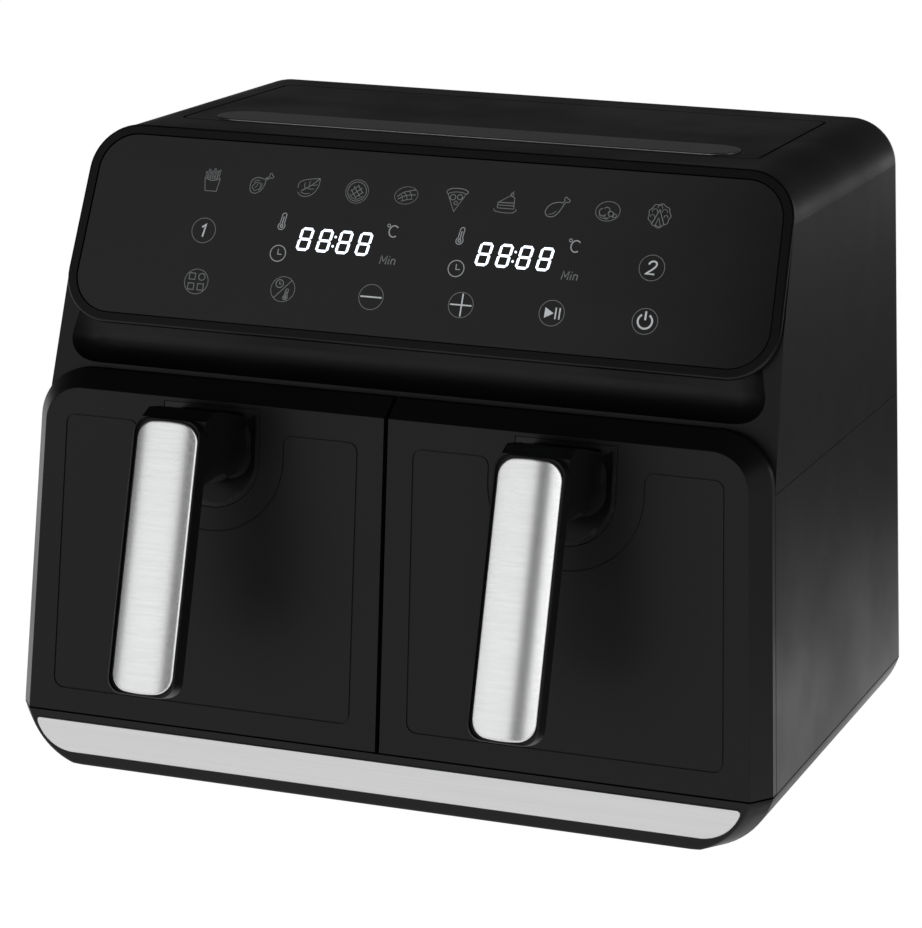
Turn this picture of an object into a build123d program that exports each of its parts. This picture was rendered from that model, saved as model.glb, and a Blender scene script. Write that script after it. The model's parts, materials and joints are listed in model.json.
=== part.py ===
from build123d import *
from math import atan, cos, degrees, radians, sin, tan
import os

# Dual drawer air fryer. Millimetres, +Z up, the front faces -Y, and the origin lies on the
# resting surface under the centre of the whole object's box.

# ---- driving dimensions ---------------------------------------------------------------------
WIDTH = 400.0
BODY_DEPTH = 286.0
HANDLE_REACH = 80.0
REAR_PROUD = 2.0
BACK_Y = (BODY_DEPTH + HANDLE_REACH - REAR_PROUD) / 2
FACE_Y = BACK_Y - BODY_DEPTH
FOOT_H = 3.8
GAP_Z = 31.0
PARTING_Z = 178.0
TOP_Z = 324.5
SIDE_SLOPE = tan(radians(3.11))
TOP_CORNER_R = 25.0
REAR_CORNER_R = 19.5
WALL = 2.5

TUCK_MID = (9.8, 17.2)
TUCK_END = (25.2, 26.9)
TUCK_FOOT = 30.0
BASE_WALL = 3.0
BASE_FRONT_FILLET = 1.6
CORNER_CUT = (8.3, 12.0)
POST_X = 183.0
SCREW_HEAD_Z = 14.0
SCREW_R = 1.5

FACE_RAKE = 2.33
FACE_H = 169.5
FACE_HALF_W = 191.7
FACE_CORNER_R = 19.0
FRONT_T = 17.0
CENTRE_GAP = 2.3

PANEL_RAKE = 24.0
GLASS_Z = 234.8
GLASS_Y = FACE_Y + 32.4
GLASS_H = 93.5
GLASS_HALF_W = (182.8, 179.6)
GLASS_CORNER_R = 20.0
BEZEL_W = 5.7
BEZEL_T = 2.6

COVE_DEPTH = 44.0
COVE_FLOOR_Z = 208.5
COVE_TOP_Z = 246.0
COVE_HALF_W = 186.4
COVE_END_R = 22.0
COVE_LOW_R = 14.0
COVE_OVERHANG = 1.2
MOUTH_R = 22.0

REAR_PANEL_Z = 172.0
REAR_PANEL_W = 304.0
REAR_PANEL_H = 228.0
CORD_X = 120.0
CORD_Z = 168.0
TOP_STRIP_Y = FACE_Y + 124.0
PANEL_T = 3.1

DRAWER_MID_V = 86.0
NECK_SEAT = 4.0
NECK_R = 16.9
NECK_V = 146.0

HANDLE_X = 92.5
HANDLE_LEAN = 14.7
HANDLE_TOP_Z = 202.5
HANDLE_L = 134.6
HANDLE_HALF_W = 17.6
PLATE_HALF_W = 16.6
PLATE_SEAT = 2.4
PLATE_T = 2.1
PLATE_EDGE_R = 1.6
PLATE_PROUD = 0.8
GRIP_T = 14.0
GRIP_FRONT_R = 0.8
GRIP_BACK_R = 4.0
MOUNT_R = 25.7
MOUNT_TOP = 167.2
MOUNT_BOTTOM = 116.0

CHAMBER_X = 96.0
DRAWER_MID_X = CHAMBER_X - 1.5
CHAMBER_Y = FACE_Y + 146.0
LINER_W = 172.0
LINER_Z = (36.0, 186.0)
LINER_FRONT = FACE_Y + 30.5
LINER_BACK = FACE_Y + 262.0
BASKET_W = 160.0
BASKET_Z = (42.0, 147.0)
BASKET_BACK = FACE_Y + 250.0
BASKET_T = 1.5
BASKET_FRONT = FACE_Y + FRONT_T + 8.0
CRISPER_Z = 58.0

FAN_R = 52.0
HEATER_R = (44.0, 60.0)
HEATER_Z = 176.0
HEATER_TUBE_R = 3.2
TERMINAL_ANGLES = (80.0, 100.0)
SHAFT_R = 4.0
RUNNING_FIT = 0.05
HOOD_R = 76.0

# ---- shared planes and outlines -------------------------------------------------------------
FACE_PLANE = Plane(
    origin=(0, FACE_Y, GAP_Z),
    x_dir=(1, 0, 0),
    z_dir=(0, -cos(radians(FACE_RAKE)), sin(radians(FACE_RAKE))),
)
PANEL_PLANE = Plane(
    origin=(0, GLASS_Y, GLASS_Z),
    x_dir=(1, 0, 0),
    z_dir=(0, -cos(radians(PANEL_RAKE)), sin(radians(PANEL_RAKE))),
)
lean = radians(HANDLE_LEAN)
HANDLE_PLANE = Plane(
    origin=(HANDLE_X, FACE_Y - 45.0, HANDLE_TOP_Z),
    x_dir=(1, 0, 0),
    z_dir=(0, -cos(lean), sin(lean)),
)
HANDLE_AXIS = Axis(HANDLE_PLANE.origin, HANDLE_PLANE.z_dir)


def half_width(z):
    """Half the casing's width at height z: both side walls lean inwards."""
    return WIDTH / 2 - SIDE_SLOPE * (z - GAP_Z)


def write(name, part):
    """Label one finished piece and write it to its own file."""
    part.label = name
    export_step(part, f"parts/{name}.step")


def write_pair(name, right):
    """Write a right-hand piece and its mirror image."""
    write(name + "_right", right)
    with BuildPart() as left:
        mirror(right, about=Plane.YZ)
    write(name + "_left", left.part)


def write_both_chambers(name, right):
    """Write a piece that is symmetric about its own chamber, and its copy in the other one."""
    write(name + "_right", right)
    with BuildPart() as left:
        with Locations((-2 * CHAMBER_X, 0, 0)):
            add(right)
    write(name + "_left", left.part)


def casing_block(z_low, z_high, inset, round_top):
    """The loaf shape of the casing between two heights, shrunk by inset on every side."""
    top = z_high - inset if round_top else z_high
    with BuildPart() as block:
        with BuildSketch(Plane.XZ.offset(-(BACK_Y - inset))) as section:
            with BuildLine():
                low = half_width(z_low) - inset
                high = half_width(top) - inset
                Polyline((-low, z_low), (low, z_low), (high, top), (-high, top), close=True)
            make_face()
            if round_top:
                upper = section.vertices().group_by(Axis.Y)[-1]
                fillet(upper, radius=TOP_CORNER_R - inset)
        extrude(amount=BODY_DEPTH)
        rear = block.faces().sort_by(Axis.Y)[-1].edges()
        kept = rear.filter_by(lambda e: e.center().Z > z_low + 1)
        if not round_top:
            kept = kept.filter_by(lambda e: e.center().Z < z_high - 1)
        fillet(kept, radius=REAR_CORNER_R - inset)
    return block.part


def front_cut(offset):
    """The space in front of the casing's side walls, moved back by offset."""
    seam = FRONT_T + 0.6 + offset
    panel = (BEZEL_T + offset) / cos(radians(PANEL_RAKE)) + GLASS_Y
    slope = tan(radians(PANEL_RAKE))
    low_y = FACE_Y + seam
    cut_z = PARTING_Z + 1.0
    split_z = 251.0
    with BuildPart() as cut:
        with BuildSketch(Plane.YZ.offset(-WIDTH)):
            with BuildLine():
                Polyline(
                    (FACE_Y - 50, 0),
                    (low_y - 1.3, 0),
                    (low_y + tan(radians(FACE_RAKE)) * (cut_z - GAP_Z), cut_z),
                    (panel + slope * (split_z - GLASS_Z), split_z),
                    (panel + slope * (TOP_Z + 20 - GLASS_Z), TOP_Z + 20),
                    (FACE_Y - 50, TOP_Z + 20),
                    close=True,
                )
            make_face()
        extrude(amount=2 * WIDTH)
    return cut.part


def cove_block(grow):
    """The recess that wraps the control panel's lower edge, with rounded inner corners."""
    with BuildPart() as cove:
        with BuildSketch(Plane.XY.offset(COVE_FLOOR_Z - grow)):
            with Locations((0, FACE_Y + COVE_DEPTH / 2 - 10)):
                Rectangle(2 * (COVE_HALF_W + grow), COVE_DEPTH + 20 + 2 * grow)
        extrude(amount=COVE_TOP_Z - COVE_FLOOR_Z)
        rear = cove.edges().filter_by(lambda e: e.center().Y > FACE_Y + 1)
        upright = rear.filter_by(Axis.Z)
        fillet(upright.group_by(Axis.Y)[-1], radius=COVE_END_R + grow)
        low = cove.faces().sort_by(Axis.Z)[0].edges()
        fillet(low.filter_by(lambda e: e.center().Y > FACE_Y + COVE_DEPTH / 2), radius=COVE_LOW_R)
        # The panel's support stays, seen square from the front.
        support = glass_face(PANEL_PLANE, BEZEL_W - COVE_OVERHANG - grow)
        extrude(support, amount=2 * COVE_DEPTH, dir=(0, 1, 0), mode=Mode.SUBTRACT)
        extrude(support, amount=2 * COVE_DEPTH, dir=(0, -1, 0), mode=Mode.SUBTRACT)
    return cove.part


# ---- casing ---------------------------------------------------------------------------------
def upper_housing():
    outer = casing_block(PARTING_Z, TOP_Z, 0, True)
    inner = casing_block(PARTING_Z - 1, TOP_Z, WALL, True)
    with BuildPart() as core:
        add(inner)
        add(front_cut(WALL), mode=Mode.SUBTRACT)
        add(cove_block(WALL), mode=Mode.SUBTRACT)
    with BuildPart() as housing:
        add(outer)
        add(front_cut(0), mode=Mode.SUBTRACT)
        add(cove_block(0), mode=Mode.SUBTRACT)
        add(core.part, mode=Mode.SUBTRACT)
        # Open front for the two drawers, below the recess.
        mouth_top = COVE_FLOOR_Z - WALL
        mouth_h = 60.0
        with BuildSketch(Plane.XZ.offset(-(FACE_Y + 60))):
            with Locations((0, mouth_top - mouth_h / 2)):
                RectangleRounded(2 * (half_width(mouth_top) - WALL - 0.5), mouth_h, MOUTH_R)
        extrude(amount=80, mode=Mode.SUBTRACT)
        # Window behind the control glass.
        extrude(glass_face(PANEL_PLANE.offset(5), -7.0), amount=-20, mode=Mode.SUBTRACT)
        extrude(top_panel_face(TOP_Z - PANEL_T - 0.1, 1.3), amount=5, mode=Mode.SUBTRACT)
        with BuildSketch(Plane.XY.offset(TOP_Z - 10)):
            with Locations((0, FACE_Y + 175.0)):
                RectangleRounded(270, 110, 4)
        extrude(amount=20, mode=Mode.SUBTRACT)
        extrude(rear_window(), amount=12, mode=Mode.SUBTRACT)
    return housing.part


def lower_housing():
    with BuildPart() as housing:
        add(casing_block(GAP_Z + 0.3, PARTING_Z - 0.3, 0, False))
        add(casing_block(GAP_Z - 1, PARTING_Z + 1, WALL, False), mode=Mode.SUBTRACT)
        # Lugs inside the side walls for the screws from the plinth.
        lug_reach = 5.0
        for x, y in post_places():
            with BuildSketch(Plane.XY.offset(GAP_Z + 0.3)):
                with Locations((x + (lug_reach if x > 0 else -lug_reach), y)):
                    Rectangle(22, 14)
            extrude(amount=4)
        with BuildSketch(Plane.XY.offset(GAP_Z)):
            with Locations(*post_places()):
                Circle(SCREW_R)
        extrude(amount=12, mode=Mode.SUBTRACT)
        add(front_cut(0), mode=Mode.SUBTRACT)
        extrude(rear_window(), amount=12, mode=Mode.SUBTRACT)
    return housing.part


def rear_window():
    """The opening in the back wall that the rear cover fills."""
    with BuildSketch(Plane.XZ.offset(-(BACK_Y + 5))) as window:
        with Locations((0, REAR_PANEL_Z)):
            RectangleRounded(REAR_PANEL_W, REAR_PANEL_H, 8)
    return window.sketch


def rear_cover():
    slot_rows = 9
    with BuildPart() as cover:
        with BuildSketch(Plane.XZ.offset(-(BACK_Y - WALL - 0.1))):
            with Locations((0, REAR_PANEL_Z)):
                RectangleRounded(REAR_PANEL_W + 12, REAR_PANEL_H + 12, 12)
        extrude(amount=2.4)
        with BuildSketch(Plane.XZ.offset(-BACK_Y)):
            with Locations((0, REAR_PANEL_Z)):
                RectangleRounded(REAR_PANEL_W - 1.2, REAR_PANEL_H - 1.2, 7.4)
        extrude(amount=WALL + 1)
        with BuildSketch(Plane.XZ.offset(-(BACK_Y + 5))):
            for group_z in (110.0, 226.0):
                with Locations((0, group_z)):
                    with GridLocations(88, 8.5, 3, slot_rows):
                        SlotOverall(76, 4)
        extrude(amount=20, mode=Mode.SUBTRACT)
        with BuildSketch(Plane.XZ.offset(-(BACK_Y + 5))):
            with Locations((CORD_X, CORD_Z)):
                Circle(9.1)
        extrude(amount=20, mode=Mode.SUBTRACT)
        with BuildSketch(Plane.XZ.offset(-(BACK_Y + 5))):
            with Locations((0, REAR_PANEL_Z)):
                with GridLocations(REAR_PANEL_W - 16, REAR_PANEL_H - 16, 2, 2):
                    Circle(1.6)
        extrude(amount=20, mode=Mode.SUBTRACT)
    return cover.part


def rear_cover_screws():
    with BuildPart() as screws:
        with BuildSketch(Plane.XZ.offset(-(BACK_Y + 1.6))):
            with Locations((0, REAR_PANEL_Z)):
                with GridLocations(REAR_PANEL_W - 16, REAR_PANEL_H - 16, 2, 2):
                    Circle(3.2)
        extrude(amount=1.6)
        with BuildSketch(Plane.XZ.offset(-BACK_Y)):
            with Locations((0, REAR_PANEL_Z)):
                with GridLocations(REAR_PANEL_W - 16, REAR_PANEL_H - 16, 2, 2):
                    Circle(1.5)
        extrude(amount=9)
        with BuildSketch(Plane.XZ.offset(-(BACK_Y + 1.6))):
            with Locations((0, REAR_PANEL_Z)):
                with GridLocations(REAR_PANEL_W - 16, REAR_PANEL_H - 16, 2, 2):
                    Rectangle(3.6, 0.8)
                    Rectangle(0.8, 3.6)
        extrude(amount=0.8, mode=Mode.SUBTRACT)
    return screws.part


def cord_inlet():
    """Flanged bush in the rear cover that the mains lead passes through."""
    with BuildPart() as bush:
        with BuildSketch(Plane.XZ.offset(-(BACK_Y + 2.0))):
            with Locations((CORD_X, CORD_Z)):
                Circle(12.5)
        extrude(amount=2.0)
        with BuildSketch(Plane.XZ.offset(-BACK_Y)):
            with Locations((CORD_X, CORD_Z)):
                Circle(9.0)
        extrude(amount=11)
        fillet(bush.faces().sort_by(Axis.Y)[-1].edges(), radius=1.0)
        with BuildSketch(Plane.XZ.offset(-(BACK_Y + 5))):
            with Locations((CORD_X, CORD_Z)):
                Circle(4.0)
        extrude(amount=30, mode=Mode.SUBTRACT)
    return bush.part


# ---- base -----------------------------------------------------------------------------------
def tuck_section(plane, half, lift):
    """Front view of the plinth: each side curves inwards to the flat underside."""
    end = (half - TUCK_END[0], GAP_Z - TUCK_END[1] + lift)
    middle = (half - TUCK_MID[0], GAP_Z - TUCK_MID[1] + lift)
    top = (half, GAP_Z + lift)
    with BuildSketch(plane) as section:
        with BuildLine():
            Polyline((0, FOOT_H + lift), (half - TUCK_FOOT, FOOT_H + lift), end)
            ThreePointArc(end, middle, top)
            Line(top, (0, GAP_Z + lift))
            mirror(about=Plane.YZ)
        make_face()
    return section.sketch


def base_block(inset):
    """The plinth's outer shape: cut front corners, sides and back tucked in underneath."""
    half = WIDTH / 2 - inset
    cut_x, cut_y = CORNER_CUT
    front_y = FACE_Y + inset
    back_y = BACK_Y - inset
    corner_r = REAR_CORNER_R - inset
    front = tuck_section(Plane.XZ.offset(-front_y), half - cut_x, inset)
    full = tuck_section(Plane.XZ.offset(-(front_y + cut_y)), half, inset)
    corner_y = back_y - corner_r
    with BuildSketch(Plane.XZ.offset(-corner_y)) as corner:
        add(tuck_section(Plane.XZ.offset(-corner_y), half, inset))
        with Locations((half - corner_r / 2, GAP_Z / 2)):
            Rectangle(corner_r, 2 * GAP_Z, mode=Mode.INTERSECT)
    with BuildPart() as block:
        loft(sections=[front, full])
        extrude(full, amount=-(back_y - front_y - cut_y))
        # The back edge tucks in like the sides.
        with BuildSketch(Plane.YZ):
            with BuildLine():
                end = (back_y - TUCK_END[0], GAP_Z - TUCK_END[1] + inset)
                top = (back_y, GAP_Z + inset)
                Polyline(
                    top,
                    (back_y + TUCK_FOOT, GAP_Z + inset),
                    (back_y + TUCK_FOOT, 0),
                    (back_y - TUCK_FOOT, 0),
                    (back_y - TUCK_FOOT, FOOT_H + inset),
                    end,
                )
                ThreePointArc(end, (back_y - TUCK_MID[0], GAP_Z - TUCK_MID[1] + inset), top)
            make_face()
        extrude(amount=WIDTH, both=True, mode=Mode.SUBTRACT)
        # Both rear corners are turned shapes.
        with BuildSketch(Plane.XY):
            with GridLocations(2 * half, 2 * (back_y - corner_y), 2, 1):
                with Locations((0, back_y)):
                    Rectangle(2 * corner_r, 2 * corner_r)
        extrude(amount=2 * GAP_Z, mode=Mode.SUBTRACT)
        axis = Axis((half - corner_r, corner_y, 0), (0, 0, 1))
        turned = revolve(corner.sketch, axis=axis)
        mirror(turned, about=Plane.YZ)
    return block.part


def strip_face(grow):
    """Outline of the bright strip on the plinth: square above, swept round below."""
    half = 187.0
    top = 27.3
    low = 10.3
    shoulder = (half, top - 2.8)
    middle = (half - 6.3, top - 11.9)
    toe = (half - 19.0, low)
    with BuildSketch(Plane.XZ.offset(-(FACE_Y + 1.0))) as strip:
        with BuildLine():
            Polyline((0, top), (half, top), shoulder)
            ThreePointArc(shoulder, middle, toe)
            Line(toe, (0, low))
            mirror(about=Plane.YZ)
        make_face()
        fillet(strip.vertices().group_by(Axis.Y)[-1], radius=1.5)
        if grow > 0:
            offset(amount=grow)
    return strip.sketch


def base_plinth():
    with BuildPart() as plinth:
        add(base_block(0))
        front = plinth.faces().sort_by(Axis.Y)[0].edges()
        fillet(front.filter_by(lambda e: e.center().Z < GAP_Z - 1), radius=BASE_FRONT_FILLET)
        add(base_block(BASE_WALL), mode=Mode.SUBTRACT)
        extrude(strip_face(0.25), amount=5, mode=Mode.SUBTRACT)
        # Air inlet slots in the floor.
        with BuildSketch(Plane.XY):
            with Locations((0, CHAMBER_Y)):
                with GridLocations(14, 120, 9, 1):
                    SlotOverall(60, 5, rotation=90)
        extrude(amount=20, mode=Mode.SUBTRACT)
        with BuildSketch(Plane.XY):
            with Locations(*foot_places()):
                Circle(1.7)
        extrude(amount=20, mode=Mode.SUBTRACT)
        # Posts for the screws that hold the casing, bored from below.
        with BuildSketch(Plane.XY.offset(SCREW_HEAD_Z)):
            with Locations(*post_places()):
                Circle(5.0)
        extrude(amount=GAP_Z - SCREW_HEAD_Z)
        with BuildSketch(Plane.XY):
            with Locations(*post_places()):
                Circle(1.6)
        extrude(amount=GAP_Z + 1, mode=Mode.SUBTRACT)
        with BuildSketch(Plane.XY):
            with Locations(*post_places()):
                Circle(3.5)
        extrude(amount=SCREW_HEAD_Z + 2.2, mode=Mode.SUBTRACT)
    return plinth.part


def base_trim_strip():
    with BuildPart() as strip:
        extrude(strip_face(0), amount=1.6)
        chamfer(strip.faces().sort_by(Axis.Y)[0].edges(), length=0.4)
    return strip.part


def post_places():
    """Where screws join the plinth to the casing."""
    front = FACE_Y + 48.0
    back = BACK_Y - 34.0
    return [(-POST_X, front), (POST_X, front), (-POST_X, back), (POST_X, back)]


def foot_places():
    inset_x = 145.0
    front = FACE_Y + 40.0
    back = BACK_Y - 45.0
    return [(-inset_x, front), (inset_x, front), (-inset_x, back), (inset_x, back)]


def rubber_feet():
    with BuildPart() as feet:
        with BuildSketch(Plane.XY):
            with Locations(*foot_places()):
                Circle(11)
        extrude(amount=FOOT_H)
        chamfer(feet.faces().sort_by(Axis.Z)[0].edges(), length=0.8)
        with BuildSketch(Plane.XY.offset(FOOT_H)):
            with Locations(*foot_places()):
                Circle(1.65)
        extrude(amount=4.5)
    return feet.part


# ---- top panel ------------------------------------------------------------------------------
def top_panel_face(level, grow):
    """Outline of the lid panel in the top, grown by grow."""
    front = FACE_Y + 106.0 - grow
    back = FACE_Y + 245.0 + grow
    with BuildSketch(Plane.XY.offset(level)) as plan:
        with BuildLine():
            Polyline(
                (-153.8 - grow, front),
                (153.8 + grow, front),
                (152.4 + grow, back),
                (-152.4 - grow, back),
                close=True,
            )
        make_face()
        fillet(plan.vertices(), radius=5 + grow)
    return plan.sketch


def top_panel():
    with BuildPart() as panel:
        extrude(top_panel_face(TOP_Z - PANEL_T, 0), amount=PANEL_T)
        with BuildSketch(Plane.XY.offset(TOP_Z - 1.2)):
            with Locations((0, TOP_STRIP_Y)):
                SlotOverall(281.6, 31.6)
        extrude(amount=5, mode=Mode.SUBTRACT)
    return panel.part


def top_trim_strip():
    with BuildPart() as strip:
        with BuildSketch(Plane.XY.offset(TOP_Z - 1.2)):
            with Locations((0, TOP_STRIP_Y)):
                SlotOverall(281, 31)
        extrude(amount=1.9)
        fillet(strip.faces().sort_by(Axis.Z)[-1].edges(), radius=0.6)
    return strip.part


# ---- control panel --------------------------------------------------------------------------
def glass_face(plane, grow):
    """The control glass's outline on a plane, grown by grow."""
    low, high = GLASS_HALF_W
    with BuildSketch(plane) as face:
        with BuildLine():
            Polyline(
                (-low - grow, -grow),
                (low + grow, -grow),
                (high + grow, GLASS_H + grow),
                (-high - grow, GLASS_H + grow),
                close=True,
            )
        make_face()
        fillet(face.vertices(), radius=GLASS_CORNER_R + grow)
    return face.sketch


def control_bezel():
    with BuildPart() as bezel:
        extrude(glass_face(PANEL_PLANE.offset(-BEZEL_T + 0.05), BEZEL_W - 0.4), amount=BEZEL_T + 0.35)
        front = bezel.faces().sort_by(Axis.Y)[0].edges()
        fillet(front, radius=1.2)
        extrude(glass_face(PANEL_PLANE.offset(-10), 0.35), amount=20, mode=Mode.SUBTRACT)
    return bezel.part


def control_glass():
    with BuildPart() as glass:
        extrude(glass_face(PANEL_PLANE.offset(-BEZEL_T + 0.1), 0), amount=BEZEL_T - 0.2)
        chamfer(glass.faces().sort_by(Axis.Y)[0].edges(), length=0.3)
    return glass.part


def control_board():
    with BuildPart() as board:
        with BuildSketch(PANEL_PLANE.offset(-13.0)):
            with Locations((0, GLASS_H / 2)):
                RectangleRounded(300, 70, 3)
        extrude(amount=1.6)
        with BuildSketch(PANEL_PLANE.offset(-13.0)):
            with Locations((0, GLASS_H / 2)):
                with GridLocations(280, 56, 2, 2):
                    Circle(1.7)
        extrude(amount=4, mode=Mode.SUBTRACT)
        # Touch springs under the row of six keys.
        with BuildSketch(PANEL_PLANE.offset(-11.4)):
            with Locations((0, 19.5)):
                with GridLocations(47.2, 10, 6, 1):
                    Circle(4)
        extrude(amount=8.6)
    return board.part


def display_module(side):
    with BuildPart() as module:
        with BuildSketch(PANEL_PLANE.offset(-11.3)):
            with Locations((side * 47.0, 46.0)):
                RectangleRounded(50, 22, 2)
        extrude(amount=8.4)
    return module.part


def power_board():
    """Supply board hung under the top panel on four posts, its parts facing down."""
    board_z = 300.0
    middle_y = CHAMBER_Y + 22.0
    with BuildPart() as board:
        with BuildSketch(Plane.XY.offset(board_z)):
            with Locations((0, middle_y)):
                RectangleRounded(120, 90, 3)
        extrude(amount=1.6)
        with BuildSketch(Plane.XY.offset(board_z)):
            with Locations((-30, middle_y + 10)):
                Rectangle(28, 24)
            with Locations((24, middle_y + 4)):
                Circle(9)
            with Locations((38, middle_y - 20)):
                Rectangle(18, 15)
            with Locations((-20, middle_y - 25)):
                Rectangle(20, 12)
        extrude(amount=-16)
        with BuildSketch(Plane.XY.offset(board_z + 1.6)):
            with Locations((0, middle_y)):
                with GridLocations(108, 78, 2, 2):
                    Circle(3)
        extrude(amount=TOP_Z - PANEL_T - board_z - 1.6)
    return board.part


# ---- cooking chambers -----------------------------------------------------------------------
def front_frame():
    """Flat frame behind the drawer fronts that the two liners hang in."""
    top = 205.0
    with BuildPart() as frame:
        with BuildSketch(FACE_PLANE.offset(-FRONT_T - 2.0)) as plate:
            with BuildLine():
                low = half_width(GAP_Z) - WALL - 2.2
                high = half_width(top) - WALL - 2.2
                Polyline(
                    (-low, 1.8),
                    (low, 1.8),
                    (high, top - GAP_Z),
                    (-high, top - GAP_Z),
                    close=True,
                )
            make_face()
            fillet(plate.vertices().group_by(Axis.Y)[-1], radius=MOUTH_R + 4)
            with Locations((0, (LINER_Z[0] + LINER_Z[1]) / 2 - GAP_Z)):
                with GridLocations(2 * CHAMBER_X, 10, 2, 1):
                    RectangleRounded(LINER_W + 0.6, LINER_Z[1] - LINER_Z[0] + 0.6, 6, mode=Mode.SUBTRACT)
        extrude(amount=-3.0)
    return frame.part


def chamber_liner():
    low, high = LINER_Z
    sheet = 1.2
    depth = LINER_BACK - LINER_FRONT
    middle = (low + high) / 2
    with BuildPart() as liner:
        with BuildSketch(Plane.XZ.offset(-LINER_BACK)):
            with Locations((CHAMBER_X, middle)):
                RectangleRounded(LINER_W, high - low, 6)
        extrude(amount=depth)
        with BuildSketch(Plane.XZ.offset(-(LINER_BACK - sheet))):
            with Locations((CHAMBER_X, middle)):
                RectangleRounded(LINER_W - 2 * sheet, high - low - 2 * sheet, 5)
        extrude(amount=depth, mode=Mode.SUBTRACT)
        with BuildSketch(Plane.XY.offset(high - 5)):
            with Locations((CHAMBER_X, CHAMBER_Y)):
                Circle(HOOD_R - 8)
        extrude(amount=10, mode=Mode.SUBTRACT)
        with BuildSketch(Plane.YZ.offset(CHAMBER_X)):
            with Locations((CHAMBER_Y + 60, 160)):
                Circle(2.0)
        extrude(amount=LINER_W, mode=Mode.SUBTRACT)
    return liner.part


def slide_rails():
    """Two low rails on the liner's floor that the pan slides on."""
    floor = LINER_Z[0] + 1.2
    length = LINER_BACK - LINER_FRONT - 30
    with BuildPart() as rails:
        with BuildSketch(Plane.XY.offset(floor)):
            with Locations((CHAMBER_X, (LINER_BACK + LINER_FRONT) / 2)):
                with GridLocations(96, 10, 2, 1):
                    SlotOverall(length, 8, rotation=90)
        extrude(amount=BASKET_Z[0] - floor - 0.3)
    return rails.part


def fan_hood():
    """Round pan over the liner's opening, with three posts that carry the motor."""
    low = LINER_Z[1] + 0.2
    with BuildPart() as hood:
        with BuildSketch(Plane.XY.offset(low)):
            with Locations((CHAMBER_X, CHAMBER_Y)):
                Circle(HOOD_R + 4)
                Circle(HOOD_R - 8, mode=Mode.SUBTRACT)
        extrude(amount=1.2)
        with BuildSketch(Plane.XY.offset(low)):
            with Locations((CHAMBER_X, CHAMBER_Y)):
                Circle(HOOD_R - 6.8)
                Circle(HOOD_R - 8, mode=Mode.SUBTRACT)
        extrude(amount=20)
        with BuildSketch(Plane.XY.offset(low + 18.8)):
            with Locations((CHAMBER_X, CHAMBER_Y)):
                Circle(HOOD_R - 7)
                Circle(SHAFT_R + 1.5, mode=Mode.SUBTRACT)
        extrude(amount=1.2)
        with BuildSketch(Plane.XY.offset(low + 19)):
            with Locations((CHAMBER_X, CHAMBER_Y)):
                with PolarLocations(63, 3, start_angle=30):
                    Circle(4)
        extrude(amount=18.8)
        with BuildSketch(Plane.XY.offset(low + 18)):
            with Locations(*terminal_places()):
                Circle(HEATER_TUBE_R + 0.4)
        extrude(amount=4, mode=Mode.SUBTRACT)
    return hood.part


def fan_motor():
    """Shaded-pole motor with its flat mounting flange."""
    flange_z = 224.0
    with BuildPart() as motor:
        with BuildSketch(Plane.XY.offset(flange_z)):
            with Locations((CHAMBER_X, CHAMBER_Y)):
                Circle(68)
                with PolarLocations(40, 6):
                    Circle(9, mode=Mode.SUBTRACT)
        extrude(amount=2)
        with BuildSketch(Plane.XY.offset(flange_z + 2)):
            with Locations((CHAMBER_X, CHAMBER_Y)):
                RectangleRounded(50, 50, 8)
        extrude(amount=28)
        with BuildSketch(Plane.XY.offset(flange_z + 30)):
            with Locations((CHAMBER_X, CHAMBER_Y)):
                Circle(12)
        extrude(amount=8)
        with BuildSketch(Plane.XY.offset(flange_z - 5)):
            with Locations((CHAMBER_X, CHAMBER_Y)):
                Circle(SHAFT_R + RUNNING_FIT)
        extrude(amount=36, mode=Mode.SUBTRACT)
    return motor.part


def fan_shaft():
    with BuildPart() as shaft:
        with BuildSketch(Plane.XY.offset(184.0)):
            with Locations((CHAMBER_X, CHAMBER_Y)):
                Circle(SHAFT_R)
        extrude(amount=66.0)
    return shaft.part


def bladed_fan(low, height, radius, blades, hub_r):
    """Disc with upright radial blades and a hub bored for the shaft."""
    with BuildPart() as fan:
        with BuildSketch(Plane.XY.offset(low)):
            with Locations((CHAMBER_X, CHAMBER_Y)):
                Circle(radius)
        extrude(amount=1.2)
        with BuildSketch(Plane.XY.offset(low)):
            with Locations((CHAMBER_X, CHAMBER_Y)):
                Circle(hub_r)
                with PolarLocations((radius + hub_r + 6) / 2, blades):
                    Rectangle(radius - hub_r - 6, 1.2)
        extrude(amount=height)
        with BuildSketch(Plane.XY.offset(low - 1)):
            with Locations((CHAMBER_X, CHAMBER_Y)):
                Circle(SHAFT_R)
        extrude(amount=height + 2, mode=Mode.SUBTRACT)
    return fan.part


def terminal_places():
    """Where the heater's two terminals rise from the outer ring."""
    bearings = [radians(angle) for angle in TERMINAL_ANGLES]
    outer = HEATER_R[1]
    return [(CHAMBER_X + outer * cos(b), CHAMBER_Y + outer * sin(b)) for b in bearings]


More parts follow.
